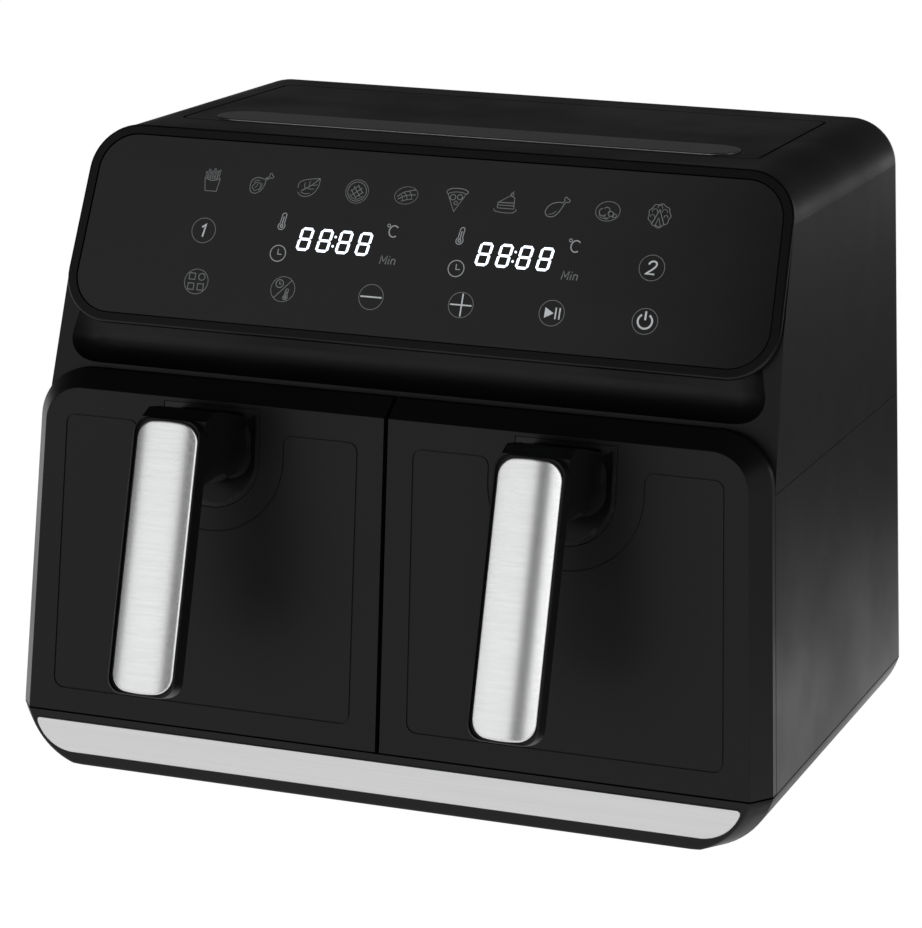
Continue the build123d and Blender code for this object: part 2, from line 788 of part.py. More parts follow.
def heating_element():
    """Tube heater: two open rings joined by a bridge, with two upright terminals."""
    centre = (CHAMBER_X, CHAMBER_Y)
    with BuildPart() as heater:
        for ring_r in HEATER_R:
            with BuildLine(Plane.XY.offset(HEATER_Z)) as ring:
                CenterArc(centre, ring_r, TERMINAL_ANGLES[1], 340)
            start = ring.line @ 0
            with BuildSketch(Plane(origin=start, z_dir=ring.line % 0)):
                Circle(HEATER_TUBE_R)
            sweep(path=ring.line)
        bridge_y = CHAMBER_Y - HEATER_R[1]
        with BuildSketch(Plane.XZ.offset(-bridge_y)):
            with Locations((CHAMBER_X, HEATER_Z)):
                Circle(HEATER_TUBE_R - 0.4)
        extrude(amount=HEATER_R[0] - HEATER_R[1])
        with BuildSketch(Plane.XY.offset(HEATER_Z)):
            with Locations(*terminal_places()):
                Circle(HEATER_TUBE_R)
        extrude(amount=40)
    return heater.part


def heater_guard():
    """Rings and spokes of wire under the heater."""
    guard_z = 168.0
    wire = 1.4
    with BuildPart() as guard:
        with BuildSketch(Plane.XY.offset(guard_z)):
            with Locations((CHAMBER_X, CHAMBER_Y)):
                for ring_r in (18, 36, 54, 66):
                    Circle(ring_r + wire)
                    Circle(ring_r - wire, mode=Mode.SUBTRACT)
                with PolarLocations(42, 6):
                    Rectangle(50, 2 * wire)
        extrude(amount=2 * wire)
        with BuildSketch(Plane.XY.offset(guard_z + wire)):
            with Locations((CHAMBER_X, CHAMBER_Y)):
                with PolarLocations(70, 3, start_angle=90):
                    Rectangle(10, 8)
        extrude(amount=2 * wire)
        with BuildSketch(Plane.XY.offset(guard_z + wire)):
            with Locations((CHAMBER_X, CHAMBER_Y)):
                with PolarLocations(74, 3, start_angle=90):
                    Rectangle(2.4, 8)
        extrude(amount=LINER_Z[1] - 1.3 - guard_z - wire)
    return guard.part


def temperature_sensor():
    """Bead thermistor on a short stem through the liner's side wall."""
    wall_x = CHAMBER_X + LINER_W / 2
    with BuildPart() as sensor:
        with BuildSketch(Plane.YZ.offset(wall_x)):
            with Locations((CHAMBER_Y + 60, 160)):
                Circle(6)
        extrude(amount=2)
        with BuildSketch(Plane.YZ.offset(wall_x - 14)):
            with Locations((CHAMBER_Y + 60, 160)):
                Circle(1.8)
        extrude(amount=14)
    return sensor.part


def drawer_switch():
    """Small switch on the front frame that the closed drawer presses."""
    with BuildPart() as switch:
        with BuildSketch(Plane.XY.offset(190)):
            with Locations((CHAMBER_X, FACE_Y + 33.6)):
                RectangleRounded(26, 9, 2)
        extrude(amount=8)
    return switch.part


def housing_screws():
    """Screws up through the plinth's posts into the casing's lugs."""
    with BuildPart() as screws:
        with BuildSketch(Plane.XY.offset(SCREW_HEAD_Z)):
            with Locations(*post_places()):
                Circle(3.2)
        extrude(amount=2.2)
        with BuildSketch(Plane.XY.offset(SCREW_HEAD_Z)):
            with Locations(*post_places()):
                Rectangle(3.6, 0.8)
                Rectangle(0.8, 3.6)
        extrude(amount=1.0, mode=Mode.SUBTRACT)
        with BuildSketch(Plane.XY.offset(SCREW_HEAD_Z + 2.2)):
            with Locations(*post_places()):
                Circle(SCREW_R)
        extrude(amount=18.5)
    return screws.part


# ---- drawers --------------------------------------------------------------------------------
def face_outline():
    """The right drawer's flat face; it runs past the middle and the bottom edge."""
    top_half = FACE_HALF_W - SIDE_SLOPE * FACE_H
    low_half = FACE_HALF_W + SIDE_SLOPE * 40
    with BuildSketch(FACE_PLANE) as face:
        with BuildLine():
            Polyline(
                (-40, -40),
                (low_half, -40),
                (top_half, FACE_H),
                (-40, FACE_H),
                close=True,
            )
        make_face()
        upper = face.vertices().group_by(Axis.Y)[-1]
        fillet(upper.sort_by(Axis.X)[-1], radius=FACE_CORNER_R)
    return face.sketch


def mount_face(plane, grow):
    """U outline of the handle's seat on a plane parallel to the face."""
    radius = MOUNT_R + grow
    centre_v = MOUNT_BOTTOM + MOUNT_R
    with BuildSketch(plane) as seat:
        with BuildLine():
            Polyline(
                (HANDLE_X - radius, centre_v),
                (HANDLE_X - radius, MOUNT_TOP + grow),
                (HANDLE_X + radius, MOUNT_TOP + grow),
                (HANDLE_X + radius, centre_v),
            )
            ThreePointArc(
                (HANDLE_X + radius, centre_v),
                (HANDLE_X, centre_v - radius),
                (HANDLE_X - radius, centre_v),
            )
        make_face()
    return seat.sketch


def groove_line():
    """Fine line round the face with a U notch about the handle's seat."""
    low, high = 13.5, 156.0
    inner = (15.4, 14.6)
    outer = (177.7, 171.5)
    notch_x = 93.1
    notch_r = 39.5
    notch_v = 143.5
    with BuildSketch(FACE_PLANE) as line:
        with BuildLine() as path:
            FilletPolyline(
                (notch_x - notch_r, notch_v),
                (notch_x - notch_r, high),
                (inner[1], high),
                (inner[0], low),
                (outer[0], low),
                (outer[1], high),
                (notch_x + notch_r, high),
                (notch_x + notch_r, notch_v),
                radius=5.0,
            )
            ThreePointArc(
                (notch_x + notch_r, notch_v),
                (notch_x, notch_v - notch_r),
                (notch_x - notch_r, notch_v),
            )
        trace(line_width=0.8)
    return line.sketch


def drawer_front():
    cut_x, cut_y = CORNER_CUT
    flare = degrees(atan(cut_x / cut_y))
    with BuildPart() as front:
        extrude(face_outline(), amount=-cut_y, taper=-flare)
        fillet(front.faces().sort_by(Axis.Y)[0].edges(), radius=0.6)
        back = front.faces().sort_by(Axis.Y)[-1]
        extrude(back, amount=FRONT_T - cut_y)
        # Hollow the back, leaving an even wall behind the face.
        with BuildSketch(FACE_PLANE.offset(-FRONT_T)):
            with Locations((DRAWER_MID_X, DRAWER_MID_V)):
                RectangleRounded(170, 156, 16)
        extrude(amount=FRONT_T - 3.5, mode=Mode.SUBTRACT)
        extrude(mount_face(FACE_PLANE.offset(1), 0.35), amount=-12, mode=Mode.SUBTRACT)
        extrude(groove_line(), amount=-0.7, mode=Mode.SUBTRACT)
        with BuildSketch(Plane.XY.offset(GAP_Z + 0.9)):
            with Locations((CENTRE_GAP / 2 + 120, FACE_Y + 10)):
                Rectangle(240, 60)
        extrude(amount=176.6, mode=Mode.INTERSECT)
    return front.part


def drawer_backing():
    """Inner cover that closes the hollow front and carries the basket."""
    with BuildPart() as backing:
        with BuildSketch(FACE_PLANE.offset(-FRONT_T + 3.0)):
            with Locations((DRAWER_MID_X, DRAWER_MID_V)):
                RectangleRounded(169.4, 155.4, 15.7)
            with Locations(*bracket_holes()):
                Circle(SCREW_R + 0.1, mode=Mode.SUBTRACT)
        extrude(amount=-3.0)
    return backing.part


def handle_mount():
    """U shaped seat flush with the face, scooped out round the handle's neck."""
    centre_v = MOUNT_BOTTOM + MOUNT_R
    with BuildPart() as mount:
        extrude(mount_face(FACE_PLANE.offset(-0.3), 0), amount=-10.5)
        mouth = mount_face(FACE_PLANE.offset(-0.3), -2.2)
        with BuildSketch(FACE_PLANE.offset(-NECK_SEAT)) as floor:
            with Locations((HANDLE_X, centre_v + 5)):
                RectangleRounded(2 * MOUNT_R - 12, 32, 12)
        loft(sections=[mouth, floor.sketch], mode=Mode.SUBTRACT)
    return mount.part


def neck_side_profile():
    """Side view of the neck, from the middle of the grip back to the mount."""
    top = HANDLE_TOP_Z
    down = Vector(0, -sin(lean), -cos(lean))
    back = Vector(0, cos(lean), -sin(lean))
    head = Vector(0, FACE_Y - 45.0, top) + back * GRIP_T / 2
    toe = head + down * 62.0
    throat = toe + back * GRIP_T / 2
    neck_plane = FACE_PLANE.offset(-NECK_SEAT)
    neck_low = neck_plane.from_local_coords(Vector(0, NECK_V - NECK_R, 0))
    neck_high = neck_plane.from_local_coords(Vector(0, 162.4, 0))
    throat_back = (neck_low.Y - 6.0, neck_low.Z)
    arch = Vector(0, FACE_Y - 14.0, top - 33.0)
    with BuildSketch(Plane.YZ.offset(HANDLE_X - HANDLE_HALF_W)) as profile:
        with BuildLine():
            Polyline(
                (head.Y, head.Z),
                (toe.Y, toe.Z),
                (throat.Y, throat.Z),
            )
            ThreePointArc((throat.Y, throat.Z), (arch.Y, arch.Z), throat_back)
            Polyline(
                throat_back,
                (neck_low.Y, neck_low.Z),
                (neck_high.Y, neck_high.Z),
                (neck_high.Y - 8.0, neck_high.Z + 2.5),
                (FACE_Y - 18.0, top - 1.0),
                (FACE_Y - 30.0, top + 1.2),
                (head.Y, head.Z),
            )
        make_face()
    return profile.sketch


def neck_outline(plane):
    """U outline of the neck, round below, on a plane parallel to the drawer's face."""
    with BuildSketch(plane) as neck:
        with Locations((HANDLE_X, NECK_V)):
            Circle(NECK_R)
        with Locations((HANDLE_X, NECK_V + 20.0)):
            Rectangle(2 * NECK_R, 40.0)
    return neck.sketch


def grip_bar():
    """Rounded bar that the hand closes on, with soft edges."""
    with BuildPart() as bar:
        with BuildSketch(HANDLE_PLANE):
            with Locations((0, -HANDLE_L / 2)):
                RectangleRounded(2 * HANDLE_HALF_W, HANDLE_L, 8.0)
        extrude(amount=-GRIP_T)
        fillet(bar.faces().sort_by(HANDLE_AXIS)[-1].edges(), radius=GRIP_FRONT_R)
        fillet(bar.faces().sort_by(HANDLE_AXIS)[0].edges(), radius=GRIP_BACK_R)
    return bar.part


def handle_core():
    """Moulded grip with its neck; the front carries a shallow seat for the steel plate."""
    with BuildPart() as core:
        extrude(neck_side_profile(), amount=2 * HANDLE_HALF_W)
        extrude(neck_outline(FACE_PLANE.offset(-NECK_SEAT - 2)), amount=90, mode=Mode.INTERSECT)
        add(grip_bar())
        extrude(plate_face(HANDLE_PLANE.offset(3), 0.25), amount=-3 - PLATE_SEAT, mode=Mode.SUBTRACT)
    return core.part


def plate_face(plane, grow):
    """Front outline of the steel plate on a plane parallel to the grip's front."""
    with BuildSketch(plane) as plate:
        with Locations((0, -HANDLE_L / 2)):
            RectangleRounded(2 * (PLATE_HALF_W + grow), HANDLE_L - 2.2 + 2 * grow, 7.0 + grow)
    return plate.sketch


def handle_cover():
    """Brushed steel plate with a crowned face."""
    edge = PLATE_T - PLATE_SEAT
    with BuildPart() as cover:
        end_plane = Plane(
            origin=HANDLE_PLANE.origin,
            x_dir=(1, 0, 0),
            z_dir=(0, -sin(lean), -cos(lean)),
        )
        with BuildSketch(end_plane):
            with BuildLine():
                Polyline(
                    (-PLATE_HALF_W, edge),
                    (-PLATE_HALF_W, -PLATE_SEAT),
                    (PLATE_HALF_W, -PLATE_SEAT),
                    (PLATE_HALF_W, edge),
                )
                ThreePointArc((PLATE_HALF_W, edge), (0, PLATE_PROUD), (-PLATE_HALF_W, edge))
            make_face()
        extrude(amount=HANDLE_L)
        extrude(plate_face(HANDLE_PLANE.offset(4), 0), amount=-8, mode=Mode.INTERSECT)
        fillet(cover.faces().sort_by(HANDLE_AXIS)[-1].edges(), radius=PLATE_EDGE_R)
    return cover.part


def pan_block(inset, low, radius):
    """The pan's rounded block, shrunk by inset, from a height up to the rim."""
    depth = BASKET_BACK - BASKET_FRONT
    with BuildPart() as block:
        with BuildSketch(Plane.XY.offset(low)):
            with Locations((CHAMBER_X, BASKET_FRONT + depth / 2)):
                RectangleRounded(BASKET_W - 2 * inset, depth - 2 * inset, 26 - inset)
        extrude(amount=BASKET_Z[1] - low)
        fillet(block.faces().sort_by(Axis.Z)[0].edges(), radius=radius)
    return block.part


def basket():
    """Open pan with a rolled rim and a bracket to the drawer front."""
    low, high = BASKET_Z
    depth = BASKET_BACK - BASKET_FRONT
    with BuildPart() as pan:
        add(pan_block(0, low, 8))
        with BuildSketch(FACE_PLANE.offset(-FRONT_T - 0.05)):
            with Locations((CHAMBER_X, 66)):
                Rectangle(90, 70)
            with Locations(*bracket_holes()):
                Circle(SCREW_R, mode=Mode.SUBTRACT)
        extrude(amount=-7.4)
        with BuildSketch(Plane.XY.offset(high - 2.0)):
            with Locations((CHAMBER_X, BASKET_FRONT + depth / 2)):
                RectangleRounded(BASKET_W + 4, depth + 4, 28)
        extrude(amount=2.0)
        add(pan_block(BASKET_T, low + BASKET_T, 6.5), mode=Mode.SUBTRACT)
    return pan.part


def drawer_seal():
    """Silicone ring between the drawer front and the chamber's mouth."""
    with BuildPart() as seal:
        with BuildSketch(FACE_PLANE.offset(-FRONT_T)):
            with Locations((DRAWER_MID_X, DRAWER_MID_V)):
                RectangleRounded(166, 150, 14)
                RectangleRounded(159, 143, 10.5, mode=Mode.SUBTRACT)
        extrude(amount=-1.4)
    return seal.part


def drawer_screws():
    """Screws through the inner cover into the basket's bracket."""
    with BuildPart() as screws:
        with BuildSketch(FACE_PLANE.offset(-FRONT_T + 5.4)):
            with Locations(*bracket_holes()):
                Circle(3.5)
        extrude(amount=-2.4)
        with BuildSketch(FACE_PLANE.offset(-FRONT_T + 3.0)):
            with Locations(*bracket_holes()):
                Circle(SCREW_R)
        extrude(amount=-7.5)
    return screws.part


def bracket_holes():
    """Where four screws join the drawer's inner cover to the pan."""
    spread = 34.0
    low, high = 45.0, 80.0
    return [(CHAMBER_X + side * spread, v) for side in (-1, 1) for v in (low, high)]


def crisper_plate():
    """Perforated plate that food lies on, held off the pan's floor."""
    width = BASKET_W - 12
    depth = BASKET_BACK - BASKET_FRONT - 12
    centre = (CHAMBER_X, (BASKET_FRONT + BASKET_BACK) / 2)
    with BuildPart() as plate:
        with BuildSketch(Plane.XY.offset(CRISPER_Z)):
            with Locations(centre):
                RectangleRounded(width, depth, 20)
        extrude(amount=1.5)
        with BuildSketch(Plane.XY.offset(CRISPER_Z)):
            with Locations(centre):
                RectangleRounded(width, depth, 20)
                RectangleRounded(width - 3, depth - 3, 18.5, mode=Mode.SUBTRACT)
        extrude(amount=5)
        with BuildSketch(Plane.XY.offset(CRISPER_Z - 1)):
            with Locations(centre):
                with GridLocations(18, 18, 7, 4):
                    SlotOverall(12, 5)
                with Locations((0, 76)):
                    with GridLocations(18, 18, 7, 2):
                        SlotOverall(12, 5)
                with Locations((0, -76)):
                    with GridLocations(18, 18, 7, 2):
                        SlotOverall(12, 5)
        extrude(amount=4, mode=Mode.SUBTRACT)
        with BuildSketch(Plane.XY.offset(BASKET_Z[0] + BASKET_T + 0.3)):
            with Locations(centre):
                with GridLocations(width - 60, depth - 60, 2, 2):
                    Circle(4)
        extrude(amount=CRISPER_Z - BASKET_Z[0] - BASKET_T - 0.3)
    return plate.part


def plate_bumpers():
    """Silicone clips on the crisper plate's rim that grip the pan."""
    width = BASKET_W - 12
    depth = BASKET_BACK - BASKET_FRONT - 12
    middle_y = (BASKET_FRONT + BASKET_BACK) / 2
    with BuildPart() as bumpers:
        with BuildSketch(Plane.XY.offset(CRISPER_Z)):
            with Locations((CHAMBER_X, middle_y)):
                for side in (-1, 1):
                    with Locations((side * (width / 2 + 1.9), 0)):
                        with GridLocations(10, depth - 70, 1, 2):
                            Rectangle(3.8, 16)
                    with Locations((0, side * (depth / 2 + 1.9))):
                        Rectangle(16, 3.8)
        extrude(amount=6)
    return bumpers.part


# ---- write every piece ----------------------------------------------------------------------
SINGLE_PIECES = {
    "upper_housing": upper_housing,
    "lower_housing": lower_housing,
    "rear_cover": rear_cover,
    "rear_cover_screws": rear_cover_screws,
    "cord_inlet": cord_inlet,
    "base_plinth": base_plinth,
    "base_trim_strip": base_trim_strip,
    "rubber_feet": rubber_feet,
    "housing_screws": housing_screws,
    "top_panel": top_panel,
    "top_trim_strip": top_trim_strip,
    "control_bezel": control_bezel,
    "control_glass": control_glass,
    "control_board": control_board,
    "power_board": power_board,
    "front_frame": front_frame,
}
PAIRED_PIECES = {
    "chamber_liner": chamber_liner,
    "slide_rails": slide_rails,
    "fan_hood": fan_hood,
    "fan_motor": fan_motor,
    "fan_shaft": fan_shaft,
    "heater_guard": heater_guard,
    "temperature_sensor": temperature_sensor,
    "drawer_switch": drawer_switch,
    "drawer_front": drawer_front,
    "drawer_backing": drawer_backing,
    "handle_mount": handle_mount,
    "handle_core": handle_core,
    "handle_cover": handle_cover,
    "basket": basket,
    "drawer_seal": drawer_seal,
    "drawer_screws": drawer_screws,
    "crisper_plate": crisper_plate,
    "plate_bumpers": plate_bumpers,
}

os.makedirs("parts", exist_ok=True)
for name, maker in SINGLE_PIECES.items():
    write(name, maker())
for name, maker in PAIRED_PIECES.items():
    write_pair(name, maker())
write("display_module_right", display_module(1))
write("display_module_left", display_module(-1))
write_both_chambers("heating_element", heating_element())
write_both_chambers("hot_air_fan", bladed_fan(190.0, 12.0, FAN_R, 12, 10.0))
write_both_chambers("cooling_fan", bladed_fan(210.0, 9.0, FAN_R - 3, 9, 9.0))
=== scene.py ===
import json
import math

import bmesh
import bpy
from mathutils import Matrix, Vector


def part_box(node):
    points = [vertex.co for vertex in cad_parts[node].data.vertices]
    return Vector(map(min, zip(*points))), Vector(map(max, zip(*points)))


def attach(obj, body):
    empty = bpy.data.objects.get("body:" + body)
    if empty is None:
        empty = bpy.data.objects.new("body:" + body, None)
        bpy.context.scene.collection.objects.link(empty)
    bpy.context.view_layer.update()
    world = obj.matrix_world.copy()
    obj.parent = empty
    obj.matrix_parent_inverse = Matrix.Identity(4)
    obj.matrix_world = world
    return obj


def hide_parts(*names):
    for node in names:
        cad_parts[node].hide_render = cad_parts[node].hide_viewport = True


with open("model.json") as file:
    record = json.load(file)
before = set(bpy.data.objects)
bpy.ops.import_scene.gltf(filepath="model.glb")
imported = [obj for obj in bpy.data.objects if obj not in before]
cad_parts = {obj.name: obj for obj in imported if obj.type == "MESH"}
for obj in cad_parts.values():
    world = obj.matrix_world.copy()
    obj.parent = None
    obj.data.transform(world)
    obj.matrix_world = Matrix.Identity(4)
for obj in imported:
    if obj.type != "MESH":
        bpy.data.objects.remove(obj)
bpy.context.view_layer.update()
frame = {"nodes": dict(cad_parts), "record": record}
NODES = frame["nodes"]
MM = 0.001


# ---- material helpers -----------------------------------------------------------------------
class Shader:
    """One procedural material: its node tree, and short calls that add and link nodes."""

    def __init__(self, name, colour, roughness, metallic=0.0):
        self.material = bpy.data.materials.new(name)
        self.material.use_nodes = True
        self.tree = self.material.node_tree
        self.principled = self.tree.nodes["Principled BSDF"]
        self.principled.inputs["Base Color"].default_value = (*colour, 1.0)
        self.principled.inputs["Roughness"].default_value = roughness
        self.principled.inputs["Metallic"].default_value = metallic
        self.coordinates = self.add("ShaderNodeTexCoord").outputs["Object"]

    def add(self, kind, **inputs):
        node = self.tree.nodes.new(kind)
        for key, value in inputs.items():
            socket = node.inputs[key.replace("_", " ")]
            if isinstance(value, bpy.types.NodeSocket):
                self.tree.links.new(value, socket)
            else:
                socket.default_value = value
        return node

    def link(self, source, target):
        self.tree.links.new(source, target)

    def noise(self, size, detail=2.0, stretch=(1.0, 1.0, 1.0)):
        """Noise whose features are about size metres, longer along axes with a stretch over 1."""
        mapping = self.add("ShaderNodeMapping", Vector=self.coordinates)
        mapping.inputs["Scale"].default_value = [1.0 / (size * s) for s in stretch]
        noise = self.add("ShaderNodeTexNoise", Vector=mapping.outputs["Vector"], Scale=1.0, Detail=detail)
        return noise.outputs["Fac"]

    def spread(self, factor, low, high, start=0.3, end=0.7):
        """Maps a noise value onto a range."""
        node = self.add("ShaderNodeMapRange", Value=factor)
        node.interpolation_type = "SMOOTHSTEP"
        for key, value in (("From Min", start), ("From Max", end), ("To Min", low), ("To Max", high)):
            node.inputs[key].default_value = value
        return node.outputs["Result"]

    def tint(self, factor, dark, light):
        """Blends two colours by a noise value."""
        ramp = self.add("ShaderNodeValToRGB", Fac=factor)
        ramp.color_ramp.elements[0].position = 0.3
        ramp.color_ramp.elements[1].position = 0.7
        ramp.color_ramp.elements[0].color = (*dark, 1.0)
        ramp.color_ramp.elements[1].color = (*light, 1.0)
        self.link(ramp.outputs["Color"], self.principled.inputs["Base Color"])

    def bump(self, height, strength, distance):
        node = self.add("ShaderNodeBump", Height=height, Strength=strength, Distance=distance)
        self.link(node.outputs["Normal"], self.principled.inputs["Normal"])


def scaled(colour, factor):
    """A colour made darker or lighter."""
    return tuple(min(1.0, c * factor) for c in colour)


def moulded(name, colour, roughness, grain=0.0009, depth=0.00003, gloss=0.5):
    """Moulded plastic: fine spark-eroded grain, faint flow marks and uneven sheen."""
    shader = Shader(name, colour, roughness)
    shader.principled.inputs["Specular IOR Level"].default_value = gloss
    broad = shader.noise(0.06, 3.0)
    fine = shader.noise(grain, 4.0)
    shader.tint(broad, scaled(colour, 0.88), scaled(colour, 1.12))
    mixed = shader.add("ShaderNodeMath")
    mixed.operation = "MULTIPLY_ADD"
    shader.link(fine, mixed.inputs[0])
    mixed.inputs[1].default_value = 0.35
    shader.link(broad, mixed.inputs[2])
    uneven = shader.spread(mixed.outputs[0], roughness - 0.05, roughness + 0.05, 0.4, 0.95)
    shader.link(uneven, shader.principled.inputs["Roughness"])
    shader.bump(fine, 0.35, depth)
    return shader.material


def brushed(name, colour, roughness, along, depth=0.000012, grain=0.0):
    """Brushed metal: long fine scratches along one axis, with slightly uneven sheen."""
    shader = Shader(name, colour, roughness, 1.0)
    shader.principled.inputs["Anisotropic"].default_value = grain
    if grain > 0:
        across = shader.add("ShaderNodeTangent")
        across.direction_type = "UV_MAP"
        across.uv_map = "brushing"
        shader.link(across.outputs["Tangent"], shader.principled.inputs["Tangent"])
    stretch = [1.0, 1.0, 1.0]
    stretch["XYZ".index(along)] = 220.0
    lines = shader.noise(0.00022, 2.0, stretch)
    bands = shader.noise(0.0011, 3.0, stretch)
    shader.tint(bands, scaled(colour, 0.965), scaled(colour, 1.02))
    uneven = shader.spread(lines, roughness - 0.03, roughness + 0.03)
    shader.link(uneven, shader.principled.inputs["Roughness"])
    shader.bump(lines, 0.5, depth)
    return shader.material


def sheet_metal(name, colour, roughness, metallic=1.0):
    """Rolled or coated sheet: soft mottling and shallow unevenness."""
    shader = Shader(name, colour, roughness, metallic)
    broad = shader.noise(0.03, 4.0)
    fine = shader.noise(0.0012, 3.0)
    shader.tint(broad, scaled(colour, 0.85), scaled(colour, 1.1))
    uneven = shader.spread(fine, roughness - 0.06, roughness + 0.08)
    shader.link(uneven, shader.principled.inputs["Roughness"])
    shader.bump(fine, 0.4, 0.00004)
    return shader.material


def speckled(name, colour, fleck, roughness):
    """Non-stick coating: dark base with small pale flecks."""
    shader = Shader(name, colour, roughness)
    cells = shader.add("ShaderNodeTexVoronoi", Vector=shader.coordinates, Scale=900.0)
    dots = shader.spread(cells.outputs["Distance"], 1.0, 0.0, 0.05, 0.16)
    patchy = shader.spread(shader.noise(0.004, 3.0), 0.0, 1.0, 0.5, 0.62)
    flecks = shader.add("ShaderNodeMath")
    flecks.operation = "MULTIPLY"
    shader.link(dots, flecks.inputs[0])
    shader.link(patchy, flecks.inputs[1])
    mix = shader.add("ShaderNodeMix")
    mix.data_type = "RGBA"
    mix.inputs[6].default_value = (*colour, 1.0)
    mix.inputs[7].default_value = (*fleck, 1.0)
    shader.link(flecks.outputs[0], mix.inputs[0])
    shader.link(mix.outputs[2], shader.principled.inputs["Base Color"])
    uneven = shader.spread(shader.noise(0.02, 3.0), roughness - 0.05, roughness + 0.06)
    shader.link(uneven, shader.principled.inputs["Roughness"])
    shader.bump(shader.noise(0.0007, 3.0), 0.5, 0.00004)
    return shader.material


def glowing(name, colour, strength, surface):
    """Light-coloured print or a lit segment behind glass."""
    shader = Shader(name, surface, 0.4)
    flicker = shader.spread(shader.noise(0.0016, 2.0), strength * 0.85, strength * 1.1)
    shader.principled.inputs["Emission Color"].default_value = (*colour, 1.0)
    shader.link(flicker, shader.principled.inputs["Emission Strength"])
    return shader.material


def smoked_glass(name, colour, roughness):
    """Dark back-printed glass with a hard gloss and very faint smears."""
    shader = Shader(name, colour, roughness)
    smear = shader.noise(0.05, 4.0, (2.2, 1.0, 1.0))
    shader.tint(smear, scaled(colour, 0.92), scaled(colour, 1.08))
    uneven = shader.spread(smear, roughness - 0.02, roughness + 0.04)
    shader.link(uneven, shader.principled.inputs["Roughness"])
    shader.bump(shader.noise(0.12, 2.0), 0.03, 0.0004)
    return shader.material


MATERIALS = {
    "casing_black": moulded("casing_black", (0.0050, 0.0050, 0.0052), 0.40, gloss=0.20),
    "drawer_black": moulded("drawer_black", (0.0060, 0.0060, 0.0062), 0.38, gloss=0.17),
    "grip_black": moulded("grip_black", (0.0045, 0.0045, 0.0047), 0.36, gloss=0.22),
    "mount_black": moulded("mount_black", (0.0048, 0.0048, 0.0050), 0.34, gloss=0.24),
    "backing_black": moulded("backing_black", (0.010, 0.010, 0.010), 0.55, gloss=0.3),
    "frame_black": moulded("frame_black", (0.008, 0.008, 0.008), 0.55, gloss=0.2),
    "bezel_black": moulded("bezel_black", (0.0035, 0.0035, 0.0037), 0.32, gloss=0.22, depth=0.00001),
    "control_glass": smoked_glass("control_glass", (0.0018, 0.0018, 0.0020), 0.15),
    "base_strip_steel": brushed("base_strip_steel", (0.60, 0.60, 0.605), 0.34, "X", 0.000003),
    "handle_steel": brushed("handle_steel", (0.62, 0.622, 0.626), 0.24, "X", 0.000002, 0.5),
    "top_strip_silver": brushed("top_strip_silver", (0.30, 0.30, 0.302), 0.38, "X", 0.000003),
    "screw_steel": brushed("screw_steel", (0.45, 0.45, 0.46), 0.35, "X"),
    "shaft_steel": brushed("shaft_steel", (0.60, 0.60, 0.61), 0.25, "X"),
    "rubber_black": moulded("rubber_black", (0.018, 0.018, 0.018), 0.75, grain=0.0006, gloss=0.3),
    "seal_silicone": moulded("seal_silicone", (0.035, 0.035, 0.038), 0.6, grain=0.0012, gloss=0.4),
    "pan_coating": speckled("pan_coating", (0.022, 0.022, 0.024), (0.16, 0.16, 0.17), 0.42),
    "liner_aluminium": sheet_metal("liner_aluminium", (0.52, 0.52, 0.53), 0.40),
    "fan_aluminium": sheet_metal("fan_aluminium", (0.62, 0.62, 0.63), 0.35),
    "heater_steel": sheet_metal("heater_steel", (0.23, 0.21, 0.19), 0.45),
    "guard_wire": sheet_metal("guard_wire", (0.66, 0.66, 0.66), 0.22),
    "motor_metal": sheet_metal("motor_metal", (0.33, 0.33, 0.34), 0.40),
    "circuit_board": moulded("circuit_board", (0.015, 0.085, 0.04), 0.35, grain=0.0007, gloss=0.6),
    "display_plastic": moulded("display_plastic", (0.62, 0.62, 0.63), 0.4),
    "sensor_plastic": moulded("sensor_plastic", (0.50, 0.48, 0.43), 0.5),
    "lit_segment": glowing("lit_segment", (0.78, 0.86, 1.0), 1.9, (0.7, 0.75, 0.8)),
    "segment_glow": glowing("segment_glow", (0.70, 0.78, 1.0), 0.13, (0.02, 0.02, 0.025)),
    "bright_print": glowing("bright_print", (0.86, 0.90, 0.93), 0.42, (0.10, 0.10, 0.10)),
    "mid_print": glowing("mid_print", (0.86, 0.90, 0.93), 0.26, (0.05, 0.05, 0.05)),
    "faint_print": glowing("faint_print", (0.86, 0.89, 0.92), 0.13, (0.03, 0.03, 0.03)),
}


# ---- CAD nodes: slot material and softened edges --------------------------------------------
EDGE_RADIUS = {
    "lower_housing": 0.35, "base_plinth": 0.5, "top_panel": 0.4, "handle_mount_left": 0.35,
    "handle_mount_right": 0.35, "rear_cover": 0.5, "basket_left": 0.4, "basket_right": 0.4,
}


def soften(node, radius):
    """Rounds a CAD node's hard edges in a modifier; its own mesh stays as packed."""
    weld = node.modifiers.new("weld", "WELD")
    weld.merge_threshold = 2e-6
    bevel = node.modifiers.new("soft_edges", "BEVEL")
    bevel.width = radius * MM
    bevel.segments = 2
    bevel.limit_method = "ANGLE"
    bevel.angle_limit = math.radians(32)
    bevel.harden_normals = True
    bevel.use_clamp_overlap = True


def dress_nodes():
    """Gives every CAD node its slot's material and, where listed, softened edges."""
    slot_of = {s["node"]: s["material_slot"] for s in frame["record"]["subparts"]}
    for name, node in NODES.items():
        node.data.materials.clear()
        node.data.materials.append(MATERIALS[slot_of[name]])
        if name in EDGE_RADIUS:
            soften(node, EDGE_RADIUS[name])


# ---- control panel graphics -----------------------------------------------------------------
GLASS_RAKE = math.radians(24.0)
GLASS_T = 2.4 * MM
PRINT_LIFT = 0.03 * MM
PRINT_T = 0.04 * MM


